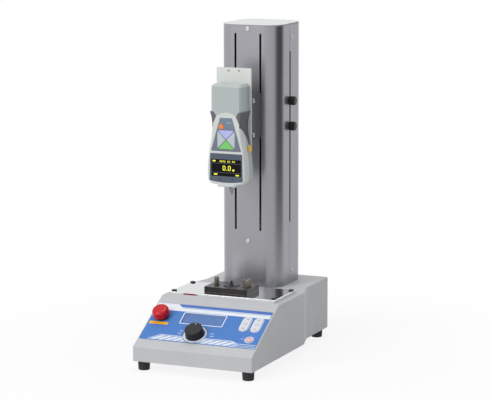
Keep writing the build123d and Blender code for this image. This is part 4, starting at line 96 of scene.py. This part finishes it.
class Shader:
    """A material's node tree, with short ways to add and join its nodes."""

    def __init__(self, name):
        self.material = bpy.data.materials.new(name)
        self.material.use_nodes = True
        self.nodes = self.material.node_tree.nodes
        self.links = self.material.node_tree.links
        self.surface = self.nodes["Principled BSDF"]
        self.place = self.nodes.new("ShaderNodeTexCoord").outputs["Object"]

    def add(self, kind, inputs=(), **settings):
        """New node with its settings; inputs are pairs of a socket and a number or an output."""
        node = self.nodes.new(kind)
        for key, value in settings.items():
            setattr(node, key, value)
        for socket, value in inputs:
            self.feed(node.inputs[socket], value)
        return node

    def feed(self, socket, value):
        """Joins an output to a socket, or sets the socket's number."""
        if isinstance(value, bpy.types.NodeSocket):
            self.links.new(value, socket)
        else:
            socket.default_value = value

    def noise(self, scale, detail=2.0, stretch=None):
        """Noise that is fixed to the part, its scale in features per metre."""
        place = self.place
        if stretch:
            place = self.add("ShaderNodeMapping", [("Vector", place), ("Scale", stretch)]).outputs[0]
        inputs = [("Vector", place), ("Scale", scale), ("Detail", detail)]
        return self.add("ShaderNodeTexNoise", inputs).outputs[0]

    def spread(self, value, low, high, start=0.3, end=0.7):
        """Stretches a noise value to a range."""
        inputs = [("Value", value), (1, start), (2, end), (3, low), (4, high)]
        return self.add("ShaderNodeMapRange", inputs).outputs[0]

    def mix(self, factor, first, second):
        """Blend of two colours."""
        node = self.add("ShaderNodeMix", data_type="RGBA")
        self.feed(node.inputs[0], factor)
        self.feed(node.inputs[6], first)
        self.feed(node.inputs[7], second)
        return node.outputs[2]

    def bump(self, height, strength, distance, normal=None):
        """Normal with small relief; distance is in metres."""
        inputs = [("Height", height), ("Strength", strength), ("Distance", distance)]
        if normal is not None:
            inputs.append(("Normal", normal))
        return self.add("ShaderNodeBump", inputs).outputs[0]

    def soft_edges(self, radius):
        """Normal that rounds the sharp edges over a radius in metres."""
        return self.add("ShaderNodeBevel", [("Radius", radius)], samples=4).outputs[0]


def finish_of(name, colour, roughness, metallic=0.0, tone=0.05, tone_scale=30.0, grain=900.0,
              grain_depth=0.00003, grain_strength=0.35, rough_spread=0.06, edge=0.0004, stretch=None,
              specular=0.5):
    """Solid finish with slow variation of tone, fine grain, uneven gloss and softened edges."""
    shader = Shader(name)
    slow = shader.noise(tone_scale, 3.0, stretch)
    fine = shader.noise(grain, 2.0, stretch)
    dark, light = shade(colour, 1 - tone), shade(colour, 1 + tone)
    shader.feed(shader.surface.inputs["Base Color"], shader.mix(shader.spread(slow, 0, 1), dark, light))
    low, high = max(0.02, roughness - rough_spread), min(1.0, roughness + rough_spread)
    shader.feed(shader.surface.inputs["Roughness"], shader.spread(fine, low, high))
    shader.surface.inputs["Metallic"].default_value = metallic
    shader.surface.inputs["Specular IOR Level"].default_value = specular
    edges = shader.soft_edges(edge) if edge else None
    shader.feed(shader.surface.inputs["Normal"], shader.bump(fine, grain_strength, grain_depth, edges))
    return shader


RIDGE_STRENGTH = 0.8


def banded(shader, axis, pitch, depth):
    """Adds fine parallel ridges along one axis, as on a thread."""
    parts = shader.add("ShaderNodeSeparateXYZ", [(0, shader.place)])
    turns = [(0, parts.outputs[axis]), (1, 2 * math.pi / pitch)]
    wave = shader.add("ShaderNodeMath", turns, operation="MULTIPLY")
    ridge = shader.add("ShaderNodeMath", [(0, wave.outputs[0])], operation="SINE")
    shader.feed(shader.surface.inputs["Normal"], shader.bump(ridge.outputs[0], RIDGE_STRENGTH, depth))
    return shader


def worn_black(name):
    """Black oxide whose edges have rubbed a little brighter."""
    shader = finish_of(
        name, srgb(44, 41, 42), 0.34, metallic=0.7, tone=0.15, tone_scale=90.0, grain=1100.0
    )
    rounded = shader.soft_edges(0.0009)
    flat = shader.add("ShaderNodeNewGeometry").outputs["Normal"]
    turn = shader.add("ShaderNodeVectorMath", [(0, rounded), (1, flat)], operation="DOT_PRODUCT")
    edge = shader.spread(turn.outputs["Value"], 1.0, 0.0, 0.93, 0.995)
    patchy = shader.spread(shader.noise(260.0, 3.0), 0.1, 0.8, 0.35, 0.65)
    wear = shader.add("ShaderNodeMath", [(0, edge), (1, patchy)], operation="MULTIPLY").outputs[0]
    base = shader.surface.inputs["Base Color"].links[0].from_socket
    shader.feed(shader.surface.inputs["Base Color"], shader.mix(wear, base, srgb(150, 148, 146)))
    return shader


def cap_with_painted_shade():
    """Pale top, with painted shade that makes the upright rim as grey as the column."""
    shader = finish_of("cap_with_painted_shade", srgb(214, 217, 216), 0.45, tone=0.02, grain=1400.0, edge=0)
    # Painted shade: faces that turn away from upward take the column's grey, upward faces the pale top
    facing = shader.add("ShaderNodeNewGeometry").outputs["Normal"]
    upward = shader.add("ShaderNodeSeparateXYZ", [(0, facing)]).outputs["Z"]
    flat = shader.spread(upward, 0.0, 1.0, 0.5, 0.6)
    top = shader.surface.inputs["Base Color"].links[0].from_socket
    shader.feed(shader.surface.inputs["Base Color"], shader.mix(flat, srgb(150, 150, 155), top))
    return shader


def keypad_film():
    """Slate grey printed film, lighter and bluer towards its top."""
    shader = finish_of(
        "keypad_film", srgb(112, 120, 134), 0.4, tone=0.04, grain=2200.0, grain_depth=0.00002, edge=0
    )
    height = shader.add("ShaderNodeSeparateXYZ", [(0, shader.place)]).outputs["Z"]
    low, high = (GAUGE_Z + KEYPAD_LOW) * MM, (GAUGE_Z + KEYPAD_TOP) * MM
    rise = shader.spread(height, 0.0, 1.0, low, high)
    shader.feed(
        shader.surface.inputs["Base Color"], shader.mix(rise, srgb(112, 114, 128), srgb(116, 134, 150))
    )
    return shader


def window_glass():
    """Thin clear window."""
    shader = finish_of("window_glass", srgb(150, 185, 225), 0.05, tone=0.01, grain_depth=0.000002, edge=0)
    shader.surface.inputs["Alpha"].default_value = 0.22
    return shader


# Radians per metre of the dots across and up the display, and the depths behind the panel
# between which the board's green turns into the screen's blue
DOTS_ACROSS, DOTS_UP = 2200.0, 1400.0
SCREEN_DEEP, SCREEN_SHALLOW = 0.0021, 0.0019


def display_board():
    """Green circuit board whose display module carries a blue screen with dim rows of dots."""
    shader = finish_of("display_board", srgb(28, 92, 52), 0.35, tone=0.1, tone_scale=200.0)
    parts = shader.add("ShaderNodeSeparateXYZ", [(0, shader.place)])
    across = parts.outputs["X"]
    outward = shader.add(
        "ShaderNodeVectorMath",
        [(0, shader.place), (1, (0, -SLOPE_SIN, SLOPE_COS))],
        operation="DOT_PRODUCT",
    ).outputs["Value"]
    panel_level = (FRONT_Y * -SLOPE_SIN + LIP_Z * SLOPE_COS) * MM
    front = shader.spread(outward, 0.0, 1.0, panel_level - SCREEN_DEEP, panel_level - SCREEN_SHALLOW)
    columns = shader.add("ShaderNodeMath", [(0, across), (1, DOTS_ACROSS)], operation="MULTIPLY").outputs[0]
    column = shader.add("ShaderNodeMath", [(0, columns)], operation="SINE").outputs[0]
    upward = parts.outputs["Z"]
    rows = shader.add("ShaderNodeMath", [(0, upward), (1, DOTS_UP)], operation="MULTIPLY").outputs[0]
    row = shader.add("ShaderNodeMath", [(0, rows)], operation="SINE").outputs[0]
    dots = shader.add("ShaderNodeMath", [(0, column), (1, row)], operation="MULTIPLY").outputs[0]
    blotch = shader.spread(shader.noise(160.0, 1.0), 0.0, 1.0, 0.48, 0.56)
    lit = shader.spread(dots, 0.0, 1.0, 0.0, 0.4)
    text = shader.add("ShaderNodeMath", [(0, lit), (1, blotch)], operation="MULTIPLY").outputs[0]
    screen = shader.mix(text, srgb(70, 122, 196), srgb(58, 100, 172))
    board = shader.surface.inputs["Base Color"].links[0].from_socket
    shader.feed(shader.surface.inputs["Base Color"], shader.mix(front, board, screen))
    return shader


def lit_segments():
    """Yellow light of the display's characters."""
    shader = finish_of("lit_yellow", srgb(236, 232, 60), 0.4, tone=0.05, edge=0)
    shader.surface.inputs["Emission Color"].default_value = srgb(236, 232, 60)
    shader.surface.inputs["Emission Strength"].default_value = 0.5
    return shader


def painted_finishes():
    """Painted sheet and mouldings of the stand."""
    return {
        "housing": finish_of(
            "housing_paint", srgb(194, 195, 197), 0.5, tone=0.025, grain=1400.0, grain_depth=0.00004,
            edge=0.0008,
        ),
        "column": finish_of(
            "column_paint", srgb(156, 156, 161), 0.33, metallic=0.8, tone=0.02, tone_scale=12.0,
            grain=2600.0, grain_depth=0.00001, grain_strength=0.2, rough_spread=0.04, edge=0.0006,
        ),
        "cap": cap_with_painted_shade(),
        "bracket": finish_of(
            "bracket_finish", srgb(222, 225, 221), 0.24, tone=0.02, grain=1100.0, edge=0.0005
        ),
        "dark_paint": finish_of(
            "arm_paint", srgb(96, 97, 103), 0.38, tone=0.05, grain=1300.0, metallic=0.35
        ),
    }


def metal_finishes():
    """Bare, plated and blackened metal."""
    thread = finish_of("rolled_thread", srgb(190, 190, 188), 0.25, metallic=1.0, grain=1500.0)
    return {
        "zinc": finish_of(
            "zinc_plating", srgb(170, 172, 176), 0.34, metallic=1.0, tone=0.08, tone_scale=120.0,
            grain=1500.0,
        ),
        "ground": finish_of(
            "ground_steel", srgb(205, 207, 210), 0.14, metallic=1.0, tone=0.03, grain=2200.0,
            grain_depth=0.000008,
        ),
        "mirror": finish_of(
            "polished_table", srgb(205, 207, 209), 0.07, metallic=1.0, tone=0.02, grain=600.0,
            grain_depth=0.000004, rough_spread=0.03, edge=0.0004, stretch=(1.0, 12.0, 1.0),
        ),
        "screws": finish_of("nickel_screws", srgb(215, 215, 214), 0.2, metallic=1.0, grain=1800.0),
        "dark_screws": finish_of(
            "black_oxide_screws", srgb(40, 40, 43), 0.3, metallic=0.6, tone=0.2, grain=1500.0
        ),
        "fixture": worn_black("fixture_black"),
        "aluminium": finish_of("milled_aluminium", srgb(198, 199, 202), 0.3, metallic=1.0, stretch=(1, 1, 9)),
        "bronze": finish_of(
            "bronze_bushes", srgb(176, 140, 82), 0.3, metallic=1.0, tone=0.08, grain=1200.0
        ),
        "thread": banded(thread, axis=2, pitch=0.001, depth=0.0004),
        "knurl": finish_of(
            "knurled_steel", srgb(128, 124, 114), 0.3, metallic=1.0, tone=0.15, tone_scale=160.0,
            grain=1400.0,
        ),
    }


def plastic_finishes():
    """Plastic, rubber, boards and films."""
    return {
        "rubber": finish_of(
            "foot_rubber", srgb(30, 30, 32), 0.7, tone=0.15, grain=700.0, grain_depth=0.0001
        ),
        "grip": finish_of(
            "grip_rubber", srgb(98, 98, 104), 0.7, tone=0.07, grain=1500.0, grain_depth=0.00012,
            grain_strength=0.6,
        ),
        "shell": finish_of("gauge_shell", srgb(180, 188, 186), 0.5, tone=0.02, grain=2400.0),
        "bezel": finish_of(
            "gauge_bezel", srgb(212, 216, 214), 0.42, tone=0.015, grain=2400.0, grain_depth=0.00002
        ),
        "keypad": keypad_film(),
        "display": finish_of(
            "display_panel", srgb(76, 86, 101), 0.4, grain=1800.0, grain_depth=0.00001
        ),
        "overlay": finish_of(
            "overlay_blue", srgb(78, 128, 200), 0.45, specular=0.25, tone=0.02, grain=2600.0,
            grain_depth=0.00002, edge=0,
        ),
        "window": window_glass(),
        "board": display_board(),
        "green_board": finish_of("circuit_board", srgb(28, 92, 52), 0.35, tone=0.1, tone_scale=200.0),
        "light_key": finish_of(
            "light_key", srgb(222, 224, 228), 0.3, tone=0.02, grain=2400.0, grain_depth=0.00001
        ),
        "black": finish_of("black_plastic", srgb(26, 26, 28), 0.42, specular=0.3, tone=0.1, grain=1600.0),
        "gloss_black": finish_of(
            "gloss_black", srgb(16, 16, 18), 0.2, specular=0.4, tone=0.1, grain=1600.0,
            grain_depth=0.00001,
        ),
        "red": finish_of(
            "red_plastic", srgb(200, 10, 30), 0.24, specular=0.35, grain=1600.0, grain_depth=0.00001
        ),
        "blue_key": finish_of("blue_key", srgb(186, 188, 240), 0.34, tone=0.03),
        "side_keys": finish_of("side_arrow_key", srgb(192, 202, 206), 0.34, tone=0.03),
        "green_key": finish_of("green_key", srgb(124, 208, 108), 0.34, tone=0.03),
        "orange_key": finish_of("orange_key", srgb(248, 132, 58), 0.34, tone=0.03),
        "yellow_key": finish_of("yellow_key", srgb(246, 190, 66), 0.34, tone=0.03),
    }


def ink_finishes():
    """Inks of the artwork, and the gauge's screen with its lit characters."""
    return {
        "white_ink": finish_of("white_ink", srgb(236, 240, 246), 0.36, tone=0.02, edge=0),
        "pale_ink": finish_of("pale_blue_ink", srgb(150, 178, 218), 0.36, tone=0.02, edge=0),
        "blue_ink": finish_of("blue_ink", srgb(66, 112, 190), 0.36, tone=0.02, edge=0),
        "grey_ink": finish_of("grey_ink", srgb(120, 126, 136), 0.4, tone=0.02, edge=0),
        "dark_ink": finish_of("dark_ink", srgb(58, 62, 72), 0.4, tone=0.04, edge=0),
        "red_ink": finish_of("red_ink", srgb(222, 46, 62), 0.36, tone=0.03, edge=0),
        "yellow_ink": finish_of("yellow_ink", srgb(252, 190, 24), 0.4, tone=0.03, edge=0),
        "screen": finish_of(
            "screen_black", srgb(10, 8, 13), 0.3, specular=0.12, tone=0.1, grain=2000.0,
            grain_depth=0.000004, edge=0,
        ),
        "lit": lit_segments(),
    }


def make_materials():
    """One finish for every kind of surface on the stand."""
    made = {**painted_finishes(), **metal_finishes(), **plastic_finishes(), **ink_finishes()}
    return {name: shader.material for name, shader in made.items()}


MATERIALS = make_materials()

NODE_FINISH = {
    "base_cover": "housing", "rear_panel": "zinc", "bottom_plate": "zinc", "rubber_feet": "rubber",
    "base_screws": "screws", "power_inlet": "black", "power_rocker": "gloss_black",
    "power_supply": "green_board", "control_overlay": "overlay", "lcd_window": "window",
    "control_board": "board", "up_key": "light_key", "down_key": "light_key", "power_key": "light_key",
    "speed_encoder": "zinc", "speed_dial": "black",
    "estop_body": "black", "estop_plunger": "black", "estop_head": "red", "table_plate": "mirror",
    "table_screws": "dark_screws", "fixture_block": "fixture", "left_thumbscrew": "knurl",
    "right_thumbscrew": "knurl", "column_shell": "column", "column_rear_cover": "column", "column_cap": "cap",
    "column_screws": "screws", "column_foot": "zinc", "bearing_plates": "zinc", "guide_rods": "ground",
    "lead_screw": "ground", "motor_pulley": "ground", "timing_belt": "rubber", "drive_motor": "dark_screws",
    "limit_rail": "zinc", "upper_limit_clamp": "zinc", "upper_limit_knob": "black",
    "lower_limit_clamp": "zinc", "lower_limit_knob": "black",
    "carriage_block": "aluminium", "carriage_bearings": "bronze",
    "carriage_arms": "dark_paint", "gauge_bracket": "bracket", "bracket_screws": "screws",
    "gauge_front_shell": "bezel", "gauge_hood": "shell", "gauge_rear_shell": "shell", "gauge_grips": "grip",
    "gauge_keypad": "keypad", "gauge_display": "display", "gauge_up_key": "blue_key",
    "gauge_left_key": "side_keys", "gauge_down_key": "green_key", "gauge_right_key": "side_keys",
    "gauge_zero_key": "orange_key", "gauge_side_key": "yellow_key", "load_cell": "aluminium",
    "gauge_shaft": "thread", "gauge_electronics": "green_board",
}

for node, finish in NODE_FINISH.items():
    slots = NODES[node].data.materials
    slots.clear()
    slots.append(MATERIALS[finish])


# Flat outlines


def rounded_rect(x, y, width, height, radius, steps=6):
    """Closed run of points round a rectangle with round corners."""
    points = []
    corners = ((1, 1, 0), (-1, 1, 90), (-1, -1, 180), (1, -1, 270))
    for side, end, start in corners:
        centre_x = x + side * (width / 2 - radius)
        centre_y = y + end * (height / 2 - radius)
        for step in range(steps + 1):
            angle = math.radians(start + 90 * step / steps)
            points.append((centre_x + radius * math.cos(angle), centre_y + radius * math.sin(angle)))
    return points


def circle(x, y, radius, steps=48):
    """Closed run of points round a circle."""
    turns = [2 * math.pi * step / steps for step in range(steps)]
    return [(x + radius * math.cos(turn), y + radius * math.sin(turn)) for turn in turns]


def band(outer, inner):
    """Four-sided faces between two runs of points with the same count."""
    count = len(outer)
    return [
        [outer[i], outer[(i + 1) % count], inner[(i + 1) % count], inner[i]]
        for i in range(count)
    ]


def ring(x, y, outer, inner, steps=48):
    """Faces of a flat ring."""
    return band(circle(x, y, outer, steps), circle(x, y, inner, steps))


def upright_bar(x, low, width, height):
    """Plain oblong standing on a level."""
    left, right, top = x - width / 2, x + width / 2, low + height
    return [(left, low), (right, low), (right, top), (left, top)]


def stroke(points, width):
    """Open line of a given width, as one closed run of points."""
    left, right = [], []
    for index, (x, y) in enumerate(points):
        before = points[max(index - 1, 0)]
        after = points[min(index + 1, len(points) - 1)]
        run = Vector((after[0] - before[0], after[1] - before[1])).normalized()
        side = Vector((-run.y, run.x)) * width / 2
        left.append((x + side.x, y + side.y))
        right.append((x - side.x, y - side.y))
    return left + right[::-1]


def chevron(x, foot, rise):
    """Arrow head that points up the slope, or down it with a negative rise."""
    return stroke([(x - 2.6, foot), (x, foot + rise), (x + 2.6, foot)], 1.1)


def on_panel(x, s, h):
    """Point in metres from its place across the control panel, up its slope and out of it."""
    y = FRONT_Y + s * SLOPE_COS - h * SLOPE_SIN
    z = LIP_Z + s * SLOPE_SIN + h * SLOPE_COS
    return Vector((x, y, z)) * MM


def on_gauge(x, z, h):
    """Point in metres on the gauge's front, measured up from the underside of its housing."""
    return Vector((x, GAUGE_PANEL_Y - h, GAUGE_Z + z)) * MM


def on_table(x, y, h):
    """Point in metres on the table plate."""
    return Vector((x, y, TABLE_Z + h)) * MM


def printed(name, faces, place, low, body, finish):
    """Thin printed or inlaid shape, a closed solid that rides on a body."""
    mesh = bpy.data.meshes.new(name)
    sheet = bmesh.new()
    for face in faces:
        bottom = [sheet.verts.new(place(x, y, low)) for x, y in face]
        top = [sheet.verts.new(place(x, y, low + INK)) for x, y in face]
        sheet.faces.new(bottom[::-1])
        sheet.faces.new(top)
        for i in range(len(face)):
            j = (i + 1) % len(face)
            sheet.faces.new((bottom[i], bottom[j], top[j], top[i]))
    bmesh.ops.recalc_face_normals(sheet, faces=sheet.faces)
    sheet.to_mesh(mesh)
    sheet.free()
    mesh.materials.append(MATERIALS[finish])
    piece = bpy.data.objects.new(name, mesh)
    bpy.context.scene.collection.objects.link(piece)
    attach(piece, body)


# Control panel artwork


def panel_print(name, faces, finish, layer=0, body="root", base=OVERLAY_TOP):
    """Shape printed on the control panel, in its layer of ink."""
    printed(name, faces, on_panel, base + layer * INK, body, finish)


def header_strip(low, low_start, top, top_start):
    """Strip from a slanted left end to the panel's right edge."""
    return [(low_start, low), (PANEL_RIGHT, low), (PANEL_RIGHT, top), (top_start, top)]


panel_print("overlay_header", [header_strip(HEADER_LOW, PANEL_LEFT, HEADER_TOP, PANEL_LEFT)], "white_ink")
panel_print("overlay_header_band", [header_strip(113.2, -64.0, HEADER_TOP, -72.0)], "blue_ink", layer=1)
panel_print("overlay_header_line", [header_strip(110.4, -60.0, 111.8, -61.5)], "pale_ink", layer=1)


def footer_stripes():
    """Slanted stripes along the panel's lower edge."""
    stripes = []
    for index in range(11):
        x = -92.0 + index * 14.0
        stripes.append([(x, 24.0), (x + 8.0, 24.0), (x + 26.0, 34.5), (x + 18.0, 34.5)])
    return stripes


panel_print(
    "overlay_footer",
    [[(-96.0, FOOTER_LOW), (72.0, FOOTER_LOW), (80.0, 29.0), (66.0, 36.5), (-76.0, 36.5)]],
    "pale_ink",
)
panel_print("overlay_footer_stripes", footer_stripes(), "white_ink", layer=1)
panel_print(
    "overlay_footer_lines",
    [
        stroke([(-98.0, 23.2), (-77.0, 37.2), (64.0, 37.2), (76.0, 31.5), (113.0, 31.5)], 1.1),
        stroke([(70.0, 27.4), (113.0, 27.4)], 1.0),
        stroke([(62.0, 23.6), (113.0, 23.6)], 1.0),
    ],
    "white_ink", layer=2,
)
panel_print(
    "display_outline",
    band(
        rounded_rect(DISPLAY_X, DISPLAY_S, 85.5, 31.4, 3.0),
        rounded_rect(DISPLAY_X, DISPLAY_S, 82.1, 28.0, 1.4),
    ),
    "white_ink",
)
panel_print("dial_ring", ring(DIAL_X, DIAL_S, 22.0, 18.8), "white_ink", layer=3)
panel_print("dial_ring_edge", ring(DIAL_X, DIAL_S, 23.0, 22.0), "dark_ink", layer=3)
DIAL_TICKS = ((-40.0, 51.0), (-42.0, 44.5), (20.5, 51.0), (22.0, 44.5))
panel_print("dial_ticks", [rounded_rect(x, s, 6.5, 1.1, 0.4) for x, s in DIAL_TICKS], "white_ink")
panel_print("stop_tag", [rounded_rect(-92.5, 67.0, 37.0, 7.0, 0.8)], "yellow_ink")
for body, x in KEY_X.items():
    outer = rounded_rect(x, KEY_S, 18.4, 39.4, 9.1, 12)
    inner = rounded_rect(x, KEY_S, 16.2, 37.2, 8.0, 12)
    panel_print(body + "_outline", band(outer, inner), "white_ink")
panel_print("power_key_outline", ring(POWER_X, POWER_S, 8.6, 7.4), "white_ink")
panel_print("power_tick", [rounded_rect(81.0, POWER_S + 1.0, 5.5, 1.0, 0.4)], "white_ink")


def key_print(name, faces, ink, body):
    """Mark printed on the face of a panel key."""
    panel_print(name, faces, ink, body=body, base=KEY_FACE)


for body, x in KEY_X.items():
    ink = "dark_ink" if body == "up_key" else "grey_ink"
    arrows = [chevron(x, KEY_S + 10.0, 3.4), chevron(x, KEY_S - 10.0, -3.4)]
    key_print(body + "_arrows", arrows, ink, body)
    key_print(body + "_ring", ring(x, KEY_S, 3.4, 2.8, 32), "grey_ink", body)
power_marks = ring(POWER_X, POWER_S, 6.2, 5.2) + ring(POWER_X, POWER_S, 3.4, 2.5, 32)
power_marks.append(rounded_rect(POWER_X, POWER_S + 1.9, 1.0, 3.2, 0.4))
key_print("power_symbol", power_marks, "red_ink", "power_key")
panel_print(
    "dial_pointer", [upright_bar(DIAL_X, DIAL_S + 10.6, 1.6, 3.8)], "white_ink",
    body="speed_dial", base=DIAL_TOP,
)


# Gauge display


def gauge_print(name, faces, finish, layer=0):
    """Shape printed or lit on the gauge's display panel."""
    printed(name, faces, on_gauge, layer * INK, "carriage", finish)


gauge_print("gauge_screen_face", [rounded_rect(0.0, 35.4, 59.0, 31.0, 1.2)], "screen")
gauge_print("gauge_screen_lines", [upright_bar(0.0, z, 57.0, 0.4) for z in SCREEN_LINES], "grey_ink", layer=1)


def digit_zero(x, z, width, height, weight):
    """Ring-shaped figure nought."""
    outer = rounded_rect(x, z, width, height, width / 2 - 0.05, 8)
    inner = rounded_rect(x, z, width - 2 * weight, height - 2 * weight, width / 2 - weight - 0.05, 8)
    return band(outer, inner)


def large_zero(x):
    """Nought of the reading."""
    return digit_zero(x, READING_Z, READING_WIDTH, READING_HEIGHT, READING_WEIGHT)


def small_zeros(x, count):
    """Row of small noughts on the screen's top line."""
    faces = []
    for index in range(count):
        faces += digit_zero(x + index * DIGIT_PITCH, TOP_LINE_Z, 2.1, 3.4, 0.6)
    return faces


gauge_print(
    "gauge_reading",
    large_zero(-4.2) + large_zero(6.4) + [rounded_rect(1.1, 31.2, 1.7, 1.7, 0.5)],
    "lit", layer=1,
)
top_digits = []
for start, count in ((-12.0, 4), (3.6, 2), (13.0, 2)):
    top_digits += small_zeros(start, count)
screen_bars = [
    rounded_rect(-24.0, 47.6, 5.6, 2.6, 0.6),
    upright_bar(14.4, 29.8, 3.6, 3.6),
    rounded_rect(-21.0, 23.3, 7.0, 2.4, 0.5),
    rounded_rect(22.0, 22.6, 7.0, 2.2, 0.5),
]
gauge_print("gauge_marks", top_digits + screen_bars, "lit", layer=1)
gauge_print("gauge_dots", [circle(-12.0, 14.6, 1.3, 24), circle(12.0, 14.6, 1.3, 24)], "screen")
printed(
    "gauge_zero_mark", [rounded_rect(6.0, 118.5, 9.0, 1.6, 0.5)], on_gauge, 0.0, "carriage", "pale_ink",
)


# Bright rims of the tapped holes

HOLES = [(side * HOLE_X, AXIS_Y + end * HOLE_Y) for side in (-1, 1) for end in (-1, 1)]
HOLES += [(-SIDE_HOLE_X, AXIS_Y), (SIDE_HOLE_X, AXIS_Y)]
rims = []
for x, y in HOLES:
    rims += ring(x, y, HOLE_RADIUS + HOLE_RIM, HOLE_RADIUS, 32)
printed("hole_rims", rims, on_table, 0.0, "root", "screws")


# Room, light and camera


def seen_rays(tree):
    """Output that is 1 for rays from the camera and for reflected and transmitted rays."""
    path = tree.nodes.new("ShaderNodeLightPath")
    total = path.outputs["Is Camera Ray"]
    for kind in ("Is Glossy Ray", "Is Transmission Ray"):
        either = tree.nodes.new("ShaderNodeMath")
        either.operation = "MAXIMUM"
        tree.links.new(total, either.inputs[0])
        tree.links.new(path.outputs[kind], either.inputs[1])
        total = either.outputs[0]
    return total


def ray_white(shader, plain, share):
    """Shows white to the camera and in reflections by a share, and the plain surface for the rest."""
    seen = seen_rays(shader.material.node_tree)
    part = shader.add("ShaderNodeMath", [(0, seen), (1, share)], operation="MULTIPLY").outputs[0]
    white = shader.add("ShaderNodeEmission").outputs[0]
    return shader.add("ShaderNodeMixShader", [(0, part), (1, plain), (2, white)]).outputs[0]


FLOOR_HALF = 30.0
SHADOW_SHARE = 0.86
SHADOW_NEAR, SHADOW_FAR = 0.3, 0.7
WORLD_LEVEL = 0.3


def card(name, corners, shader, surface):
    """Four-sided sheet that shows one surface shader."""
    mesh = bpy.data.meshes.new(name)
    mesh.from_pydata(corners, [], [(0, 1, 2, 3)])
    shader.links.new(surface, shader.nodes["Material Output"].inputs["Surface"])
    mesh.materials.append(shader.material)
    sheet = bpy.data.objects.new(name, mesh)
    bpy.context.scene.collection.objects.link(sheet)
    return sheet


def make_floor():
    """White floor that keeps the stand's shadow near the stand."""
    shader = Shader("floor_white")
    shader.surface.inputs["Base Color"].default_value = (0.9, 0.9, 0.9, 1)
    shader.surface.inputs["Roughness"].default_value = 0.9
    length = shader.add("ShaderNodeVectorMath", [(0, shader.place)], operation="LENGTH")
    share = shader.spread(length.outputs["Value"], SHADOW_SHARE, 1.0, SHADOW_NEAR, SHADOW_FAR)
    half = FLOOR_HALF
    corners = [(-half, -half, 0), (half, -half, 0), (half, half, 0), (-half, half, 0)]
    floor = card("floor", corners, shader, ray_white(shader, shader.surface.outputs[0], share))


def make_world():
    """White surroundings for the camera and reflections, softer light for everything else."""
    world = bpy.data.worlds.new("studio")
    bpy.context.scene.world = world
    world.use_nodes = True
    tree = world.node_tree
    plain = tree.nodes["Background"]
    plain.inputs[0].default_value = (0.93, 0.96, 1.0, 1)
    plain.inputs[1].default_value = WORLD_LEVEL
    white = tree.nodes.new("ShaderNodeBackground")
    white.inputs[0].default_value = (1, 1, 1, 1)
    mix = tree.nodes.new("ShaderNodeMixShader")
    tree.links.new(seen_rays(tree), mix.inputs[0])
    tree.links.new(plain.outputs[0], mix.inputs[1])
    tree.links.new(white.outputs[0], mix.inputs[2])
    tree.links.new(mix.outputs[0], tree.nodes["World Output"].inputs["Surface"])


def softbox(name, place, target, size, energy):
    """Square area lamp that faces a point."""
    lamp = bpy.data.lights.new(name, "AREA")
    lamp.shape = "SQUARE"
    lamp.size = size
    lamp.energy = energy
    light = bpy.data.objects.new(name, lamp)
    light.location = place
    light.rotation_mode = "QUATERNION"
    light.rotation_quaternion = (Vector(target) - Vector(place)).to_track_quat("-Z", "Y")
    bpy.context.scene.collection.objects.link(light)


def make_flag(name, azimuth, distance, width, height, middle):
    """Dark card that shows only in reflections; azimuth counts from the front to the right."""
    shader = Shader(name + "_card")
    clear = shader.add("ShaderNodeBsdfTransparent").outputs[0]
    dark = shader.add("ShaderNodeEmission", [("Color", (0.02, 0.02, 0.022, 1))]).outputs[0]
    glossy = shader.add("ShaderNodeLightPath").outputs["Is Glossy Ray"]
    surface = shader.add("ShaderNodeMixShader", [(0, glossy), (1, clear), (2, dark)]).outputs[0]
    half, low, high = width / 2, middle - height / 2, middle + height / 2
    corners = [(-half, 0, low), (half, 0, low), (half, 0, high), (-half, 0, high)]
    flag = card(name, corners, shader, surface)
    turn = math.radians(azimuth)
    flag.location = (distance * math.sin(turn), -distance * math.cos(turn), 0)
    flag.rotation_euler = (0, 0, turn)


CAMERA_PLACE = (1.63867, -3.72504, 0.96293)
CAMERA_AZIMUTH = 23.511
CAMERA_TILT = 9.407
CAMERA_ROLL = -0.0856
CAMERA_LENS = 164.07


def make_camera():
    """Camera solved from the photograph."""
    azimuth, tilt, roll = (math.radians(angle) for angle in (CAMERA_AZIMUTH, CAMERA_TILT, CAMERA_ROLL))
    level = math.cos(tilt)
    forward = Vector((-math.sin(azimuth) * level, math.cos(azimuth) * level, -math.sin(tilt)))
    right = Vector((math.cos(azimuth), math.sin(azimuth), 0.0))
    up = right.cross(forward)
    across = right * math.cos(roll) + up * math.sin(roll)
    upward = up * math.cos(roll) - right * math.sin(roll)
    data = bpy.data.cameras.new("camera")
    data.sensor_width = 36.0
    data.lens = CAMERA_LENS
    data.clip_end = 200.0
    camera = bpy.data.objects.new("camera", data)
    turn = Matrix((across, upward, -forward)).transposed().to_4x4()
    camera.matrix_world = Matrix.Translation(CAMERA_PLACE) @ turn
    bpy.context.scene.collection.objects.link(camera)
    bpy.context.scene.camera = camera


make_floor()
make_world()
CENTRE = (0.0, 0.0, 0.3)
softbox("key_light", (-1.6, -3.0, 2.4), CENTRE, size=2.0, energy=80.0)
softbox("top_light", (0.2, 0.2, 3.4), CENTRE, size=2.4, energy=45.0)
softbox("side_light", (1.6, 3.4, 1.6), CENTRE, size=1.4, energy=8.0)
make_flag("corner_flag", azimuth=104.0, distance=1.2, width=1.4, height=2.4, middle=0.7)
make_camera()

bpy.context.scene.view_settings.view_transform = "Standard"
